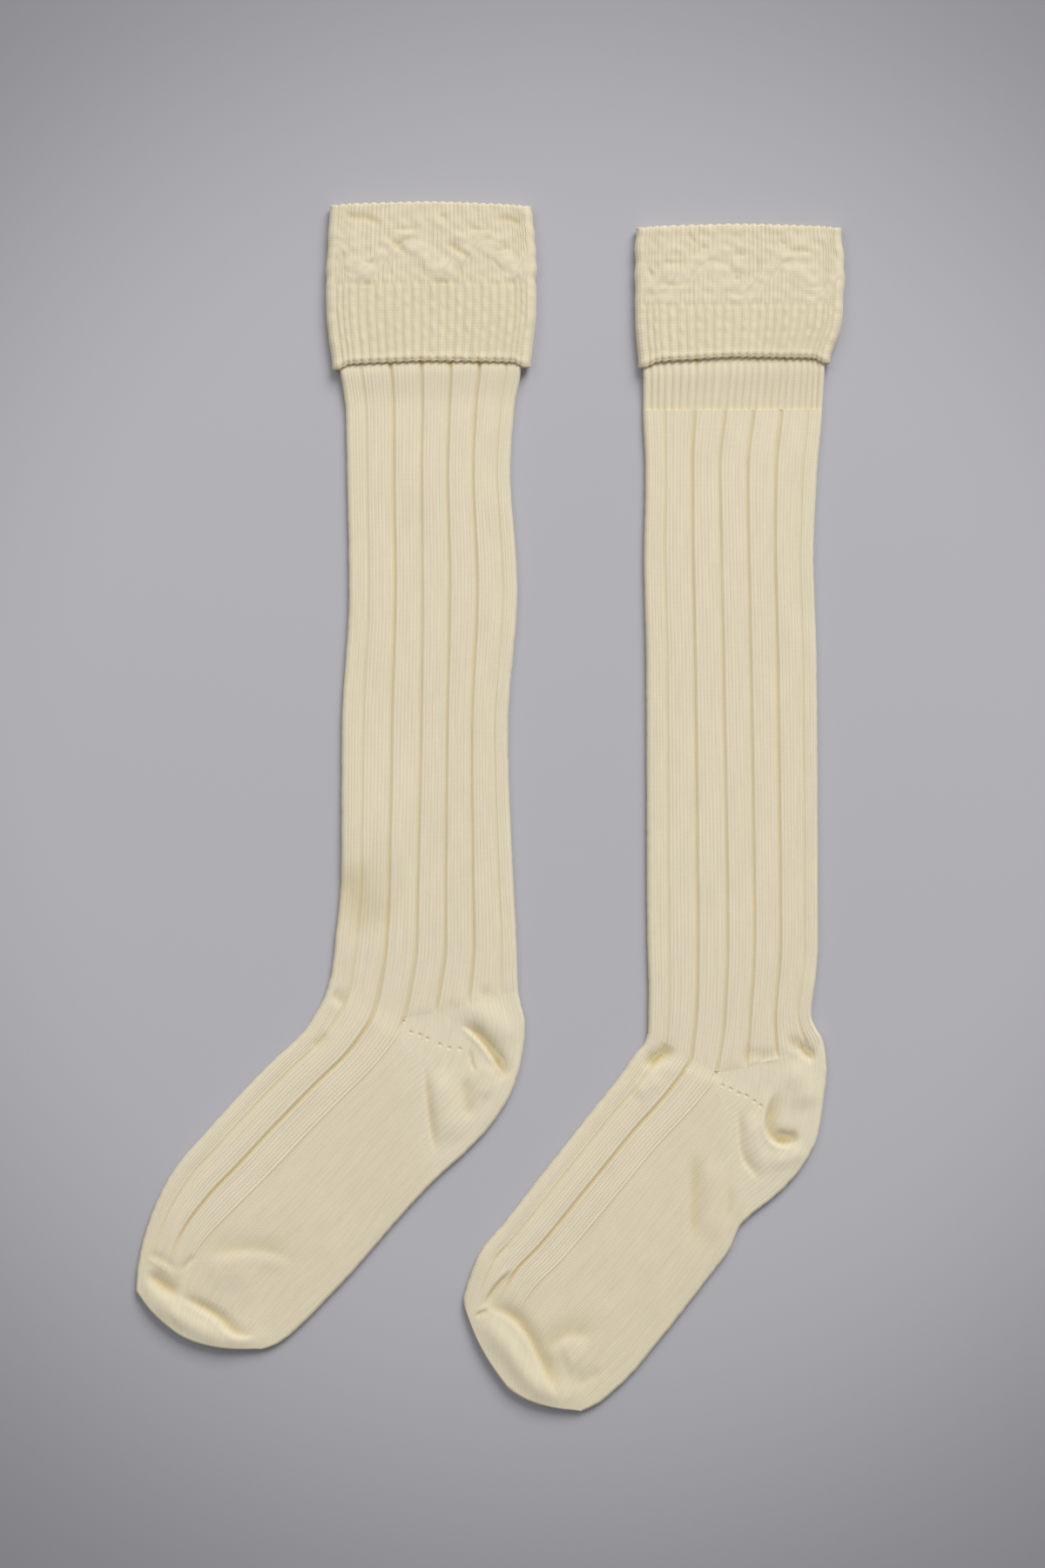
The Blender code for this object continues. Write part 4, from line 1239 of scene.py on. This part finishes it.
# %% The fine rib below the right cuff
BAND_ROUND = once_round(even_shares(10 * FINE_RIBS), even_shares(2 * FINE_RIBS))
lay_leg("right", "_band_knit", 0, BAND_END, BAND_ROUND, fine_relief)

# %% [markdown]
# ## Foot, heel and toe
#
# Below the ankle the tube turns forward. Three of the leg's grooves reach the instep. The third soon fades,
# and the front two are pressed deep where the foot folds over. A thin ridge marks the side line, where the
# ribs meet the plain knit of heel, sole and toe. The heel is a pocket: its rows fan out from the side line to
# the back. The foot is one stretch with a stepped outline, since its sole starts only where the heel ends.

# %% The relief of a foot
# Where the foot folds over, its grooves are pressed: a soft trough before each, a sharp line in it, and a
# lip of cloth behind it
Press = namedtuple("Press", "groove trough line lip")
PRESSES = (
    Press(0, 0.5, 0.0, 0.1),
    Press(1, 0.35, 0.5, 0.35),
)
PRESS_ROWS = 7
# Widths and the distance of trough and lip from the line, as shares of the way across
LINE_WIDTH = 0.007
TROUGH_WIDTH = 0.03
PRESSED_LIP_WIDTH = 0.014
BESIDE_LINE = 0.022
FOOT_SWELL = 2.0
TOE_SWELL = 1.6
HEEL_SWELL_ROWS = 8
TOE_SWELL_ROWS = 2
# Under a crease the inner face rises by so many mm at most, and sinks by this share of the swell
MOST_LIFT = 1.0
MOST_SINK = 0.9
LOWEST = -0.8
INSTEP_GROOVES = (0.6, 1.0)
# The ridge along the side line, with a furrow in front of it: how high, and where, as shares across
SIDE_RIDGE = 0.35
RIDGE_AT = 0.003
RIDGE_WIDTH = 0.005
RIDGE_FURROW = 0.7
FURROW_AT = -0.009
# Painted shade: the plain sole and toe a little darker, and the eyelets' pits darker still
SOLE_SHADE = 0.05
EYELET_SHADE = 0.3


def pressed(share, row):
    """How far the pressed grooves sink the instep, in mm, and how much of that is deep."""
    along = ease((row - HEEL_TOP) / PRESS_ROWS) * (1 - ease((row - TOE_SEAM + 1.5) / 1.2))
    sunk, deep = np.zeros(len(share)), np.zeros(len(share))
    for press in PRESSES:
        past = share - GROOVE_CENTRES[press.groove]
        line = press.line * bell(past, LINE_WIDTH)
        sunk += line + press.trough * bell(past + BESIDE_LINE, TROUGH_WIDTH)
        sunk -= press.lip * bell(past - BESIDE_LINE, PRESSED_LIP_WIDTH)
        deep += line
    return sunk * along, deep * along


def foot_relief(sock, share, row, spot):
    """Height of a foot's outer face, how far its creases sink it, and its painted shade."""
    into_foot = ease((row - HEEL_TOP) / PRESS_ROWS)
    before_toe = 1 - ease(row - TOE_SEAM + 1)
    ribbed = (share <= SIDE_LINE) * before_toe
    leg_grooves = grooves(share, GROOVE_DEPTHS[:3])
    deep = (leg_grooves + (grooves(share, INSTEP_GROOVES) - leg_grooves) * into_foot) * ribbed
    deep += leg_grooves * (share > SIDE_LINE) * (1 - ease(row - HEEL_TOP))
    past_side = share - SIDE_LINE
    furrow = RIDGE_FURROW * bell(past_side - FURROW_AT, RIDGE_WIDTH)
    ridge = bell(past_side - RIDGE_AT, RIDGE_WIDTH) - furrow
    pit = eyelet_pit(spot, sock.eyelets)
    height = (wide_rib(share) * ribbed + plain_knit(share) * (1 - ribbed)) * (1 - deep)
    height += SIDE_RIDGE * into_foot * ridge * before_toe - EYELET_DEPTH * pit + layers(spot, LIE, sock.seed)
    sunk, in_crease = np.add(fold_down(spot, sock.creases), pressed(share, row))
    painted_shade = shade(share, deep, in_crease) + EYELET_SHADE * pit
    painted_shade += SOLE_SHADE * (1 - ribbed) * ease(row - HEEL_END)
    return height, sunk, np.clip(painted_shade, 0, 1)


def toe_bulge(sock, row, share):
    """How far the outline of the toe is pushed out, square to the line between its points."""
    front, side, back = (plan(sock.rungs, row, at) for at in (0.0, SIDE_LINE, 1.0))
    in_front = share < SIDE_LINE
    run = np.where(in_front[:, None], side - front, back - side)
    outwards = np.column_stack([run[:, 1], -run[:, 0]]) / np.linalg.norm(run, axis=1)[:, None]
    part = np.where(in_front, share / SIDE_LINE, (share - SIDE_LINE) / (1 - SIDE_LINE))
    most = np.where(in_front, sock.front_bulge, sock.back_bulge) * ease((row - TOE_SEAM) / (TIP - TOE_SEAM))
    return outwards * (most * swell(part))[:, None]


def foot_place(sock):
    """Places the cloth of a foot, a heel or a toe."""

    def place(row, depth, line):
        share = line.share
        spot = plan(sock.rungs, row, share)
        height, sunk, painted_shade = foot_relief(sock, share, row, spot)
        most = LEG_SWELL + (FOOT_SWELL - LEG_SWELL) * ease((row - HEEL_TOP) / HEEL_SWELL_ROWS)
        most += (TOE_SWELL - FOOT_SWELL) * ease((row - TOE_SEAM + TOE_SWELL_ROWS) / TOE_SWELL_ROWS)
        full = most * swell(share)
        outer = depth == 0
        rise = full - np.where(outer, sunk, np.clip(sunk, -MOST_LIFT, MOST_SINK * full)) + outer * height
        rise = np.maximum(rise, np.where(outer, LOWEST, 0.0))
        spread = outer * layers(spot, EDGE_WANDER, sock.seed + 2)
        points = wrap(sock.rungs, row, line, LEG_HALF, LEG_HALF, depth, rise, spread)
        points[:, :2] += toe_bulge(sock, row, share)
        return points, painted_shade * outer * (line.sheet >= 0)

    return place


print("instep grooves:", len(INSTEP_GROOVES))

# %% Cut a stepped net and give it a wall


def patch(name, wool, rows, line, course, place, keeps=None):
    """A shell over part of the tube. keeps(row, first share, second share) says which cells it has."""
    net = new_net(len(rows) - 1, len(line.share) - 1)
    map_knit(net, line.wale, course)
    row_mark, column_mark = mark_layers(net)

    def missing(face):
        row = min(vert[row_mark] for vert in face.verts)
        column = min(vert[column_mark] for vert in face.verts)
        return not keeps(rows[row], line.share[column], line.share[column + 1])

    if keeps:
        bmesh.ops.delete(net, geom=[face for face in net.faces if missing(face)], context="FACES")
    row, column = marks(net.verts, net)
    put(net.verts, net, *place(rows[row], np.zeros(len(row)), pick(line, column)))
    weld(net)
    outer_face = set(net.verts)
    bmesh.ops.extrude_face_region(net, geom=[*net.verts, *net.edges, *net.faces], use_keep_orig=True)
    inner_face = [vert for vert in net.verts if vert not in outer_face]
    row, column = marks(inner_face, net)
    put(inner_face, net, *place(rows[row], np.full(len(row), WALL), pick(line, column)))
    finish(net, name, wool)


def on_sole_side(row, first, second):
    """Whether a cell lies behind the side line."""
    return min(first, second) >= SIDE_LINE - 1e-6


def off_the_heel(row, first, second):
    """Whether a cell lies on the instep, or so far along that the heel has ended."""
    return row >= HEEL_END - 1e-6 or not on_sole_side(row, first, second)


def split_shares(instep_count, sole_count):
    """Shares across the upper sheet with one exactly on the side line."""
    instep = np.linspace(0, SIDE_LINE, instep_count + 1)
    return np.concatenate([instep, np.linspace(SIDE_LINE, 1, sole_count + 1)[1:]])


print("side line at share", SIDE_LINE)

# %% Turn the heels
HEEL_SPACING = 0.9
# The heel has no cells in front of the side line, so two lines of points are enough there
HEEL_ROUND = once_round(split_shares(2, 110), split_shares(2, 14))


def turn_heel(side, sock):
    """The heel's pocket, with even rows along the back edge."""
    rows = even_rows(sock.rungs, 1.0, HEEL_TOP, HEEL_END, HEEL_SPACING)
    course = np.interp(rows, *walk(sock.rungs, 1.0, HEEL_TOP, HEEL_END)) / COURSE_HEIGHT
    patch(side + "_heel_knit", PLAIN_WOOL, rows, HEEL_ROUND, course, foot_place(sock), on_sole_side)


for side, sock in SOCKS.items():
    turn_heel(side, sock)

# %% Lay the feet
FOOT_SPACING = 1.6
# The line of the instep that its rows are spaced along
INSTEP_LINE = 0.2
INSTEP_WALES = 21
SOLE_WALES = 27
FOOT_ROUND = once_round(
    split_shares(LINES_A_WALE * INSTEP_WALES, 3 * SOLE_WALES), split_shares(INSTEP_WALES, SOLE_WALES)
)


def lay_foot(side, sock):
    """The instep from the ankle to the toe seam, and the sole from the heel to there."""
    instep = even_rows(sock.rungs, INSTEP_LINE, HEEL_TOP, HEEL_END, FOOT_SPACING)
    sole = even_rows(sock.rungs, SIDE_LINE, HEEL_END, TOE_SEAM, FOOT_SPACING)
    rows = np.concatenate([instep, sole[1:]])
    course = np.interp(rows, *walk(sock.rungs, SIDE_LINE, HEEL_TOP, TOE_SEAM)) / COURSE_HEIGHT
    patch(side + "_foot_knit", WIDE_RIB_WOOL, rows, FOOT_ROUND, course, foot_place(sock), off_the_heel)


for side, sock in SOCKS.items():
    lay_foot(side, sock)

# %% [markdown]
# ## The toes
#
# The toe is closed by drawing the two sheets together round its tip. The last rows of the grid therefore
# turn over the tip in a quarter circle, and the upper and lower halves of the last row fall on each other
# and are welded.

# %% Close the toes
TOE_SPACING = 0.8
TIP_ANGLES = np.radians(np.arange(15.0, 91.0, 15.0))
TOE_SHARES = split_shares(70, 100)
TOE_ROUND = once_round(TOE_SHARES, TOE_SHARES)


def close_toe(side, sock):
    """The toe from its seam to the tip, and round it."""
    flat = foot_place(sock)
    rows, travelled = walk(sock.rungs, SIDE_LINE, TOE_SEAM, TIP)
    last = np.interp(travelled[-1] - LEG_HALF, travelled, rows)
    body = even_rows(sock.rungs, SIDE_LINE, TOE_SEAM, last, TOE_SPACING)
    # The rows that turn over the tip only need numbers that no other row has
    all_rows = np.concatenate([body, TIP + 2 + np.arange(len(TIP_ANGLES))])
    angles = np.concatenate([np.zeros(len(body)), TIP_ANGLES])

    def place(row, depth, line):
        angle = angles[np.searchsorted(all_rows, row - 1e-9)]
        from_tip = LEG_HALF - (LEG_HALF - depth) * np.sin(angle)
        turned = np.interp(travelled[-1] - from_tip, travelled, rows)
        points, painted_shade = flat(np.where(angle > 0, turned, row), depth, line)
        points[:, 2] = LEG_HALF + (points[:, 2] - LEG_HALF) * np.cos(angle)
        return points, painted_shade

    course = np.arange(len(all_rows)) * TOE_SPACING / COURSE_HEIGHT
    patch(side + "_toe_knit", PLAIN_WOOL, all_rows, TOE_ROUND, course, place)


for side, sock in SOCKS.items():
    close_toe(side, sock)

# %% [markdown]
# ## Attaching the pieces
#
# Each shell stands for the solid of the same stretch. It rides on the part's one body, and that solid is
# hidden. The area of each shell's cloth is printed beside the area that it has when laid out flat.

Cloth = namedtuple("Cloth", "node slot flat area rests_on")
CLOTHS = (
    Cloth("left_cuff", "cuff_rib", (0.226, 0.095), 0.0214, "left_leg"),
    Cloth("right_cuff", "cuff_rib", (0.226, 0.085), 0.0191, "right_band"),
    Cloth("left_leg", "leg_rib", (0.182, 0.416), 0.0757, "left_foot"),
    Cloth("right_leg", "leg_rib", (0.190, 0.345), 0.0655, "right_foot"),
    Cloth("right_band", "cuff_rib", (0.206, 0.090), 0.0185, "right_leg"),
    Cloth("left_heel", "plain_knit", (0.130, 0.090), 0.0070, "left_foot"),
    Cloth("right_heel", "plain_knit", (0.130, 0.090), 0.0070, "right_foot"),
    Cloth("left_foot", "leg_rib", (0.200, 0.190), 0.0300, "left_heel"),
    Cloth("right_foot", "leg_rib", (0.200, 0.190), 0.0300, "right_heel"),
    Cloth("left_toe", "plain_knit", (0.160, 0.040), 0.0040, "left_foot"),
    Cloth("right_toe", "plain_knit", (0.160, 0.050), 0.0040, "right_foot"),
)
for cloth in CLOTHS:
    piece = bpy.data.objects[cloth.node + "_knit"]
    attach(piece, "root")
    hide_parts(cloth.node)
    one_side = sum(polygon.area for polygon in piece.data.polygons) / 2
    print(cloth.node, "cloth in square cm:", round(one_side * 1e4), "of", round(1e4 * cloth.area))
print("cloth pieces:", len(CLOTHS))
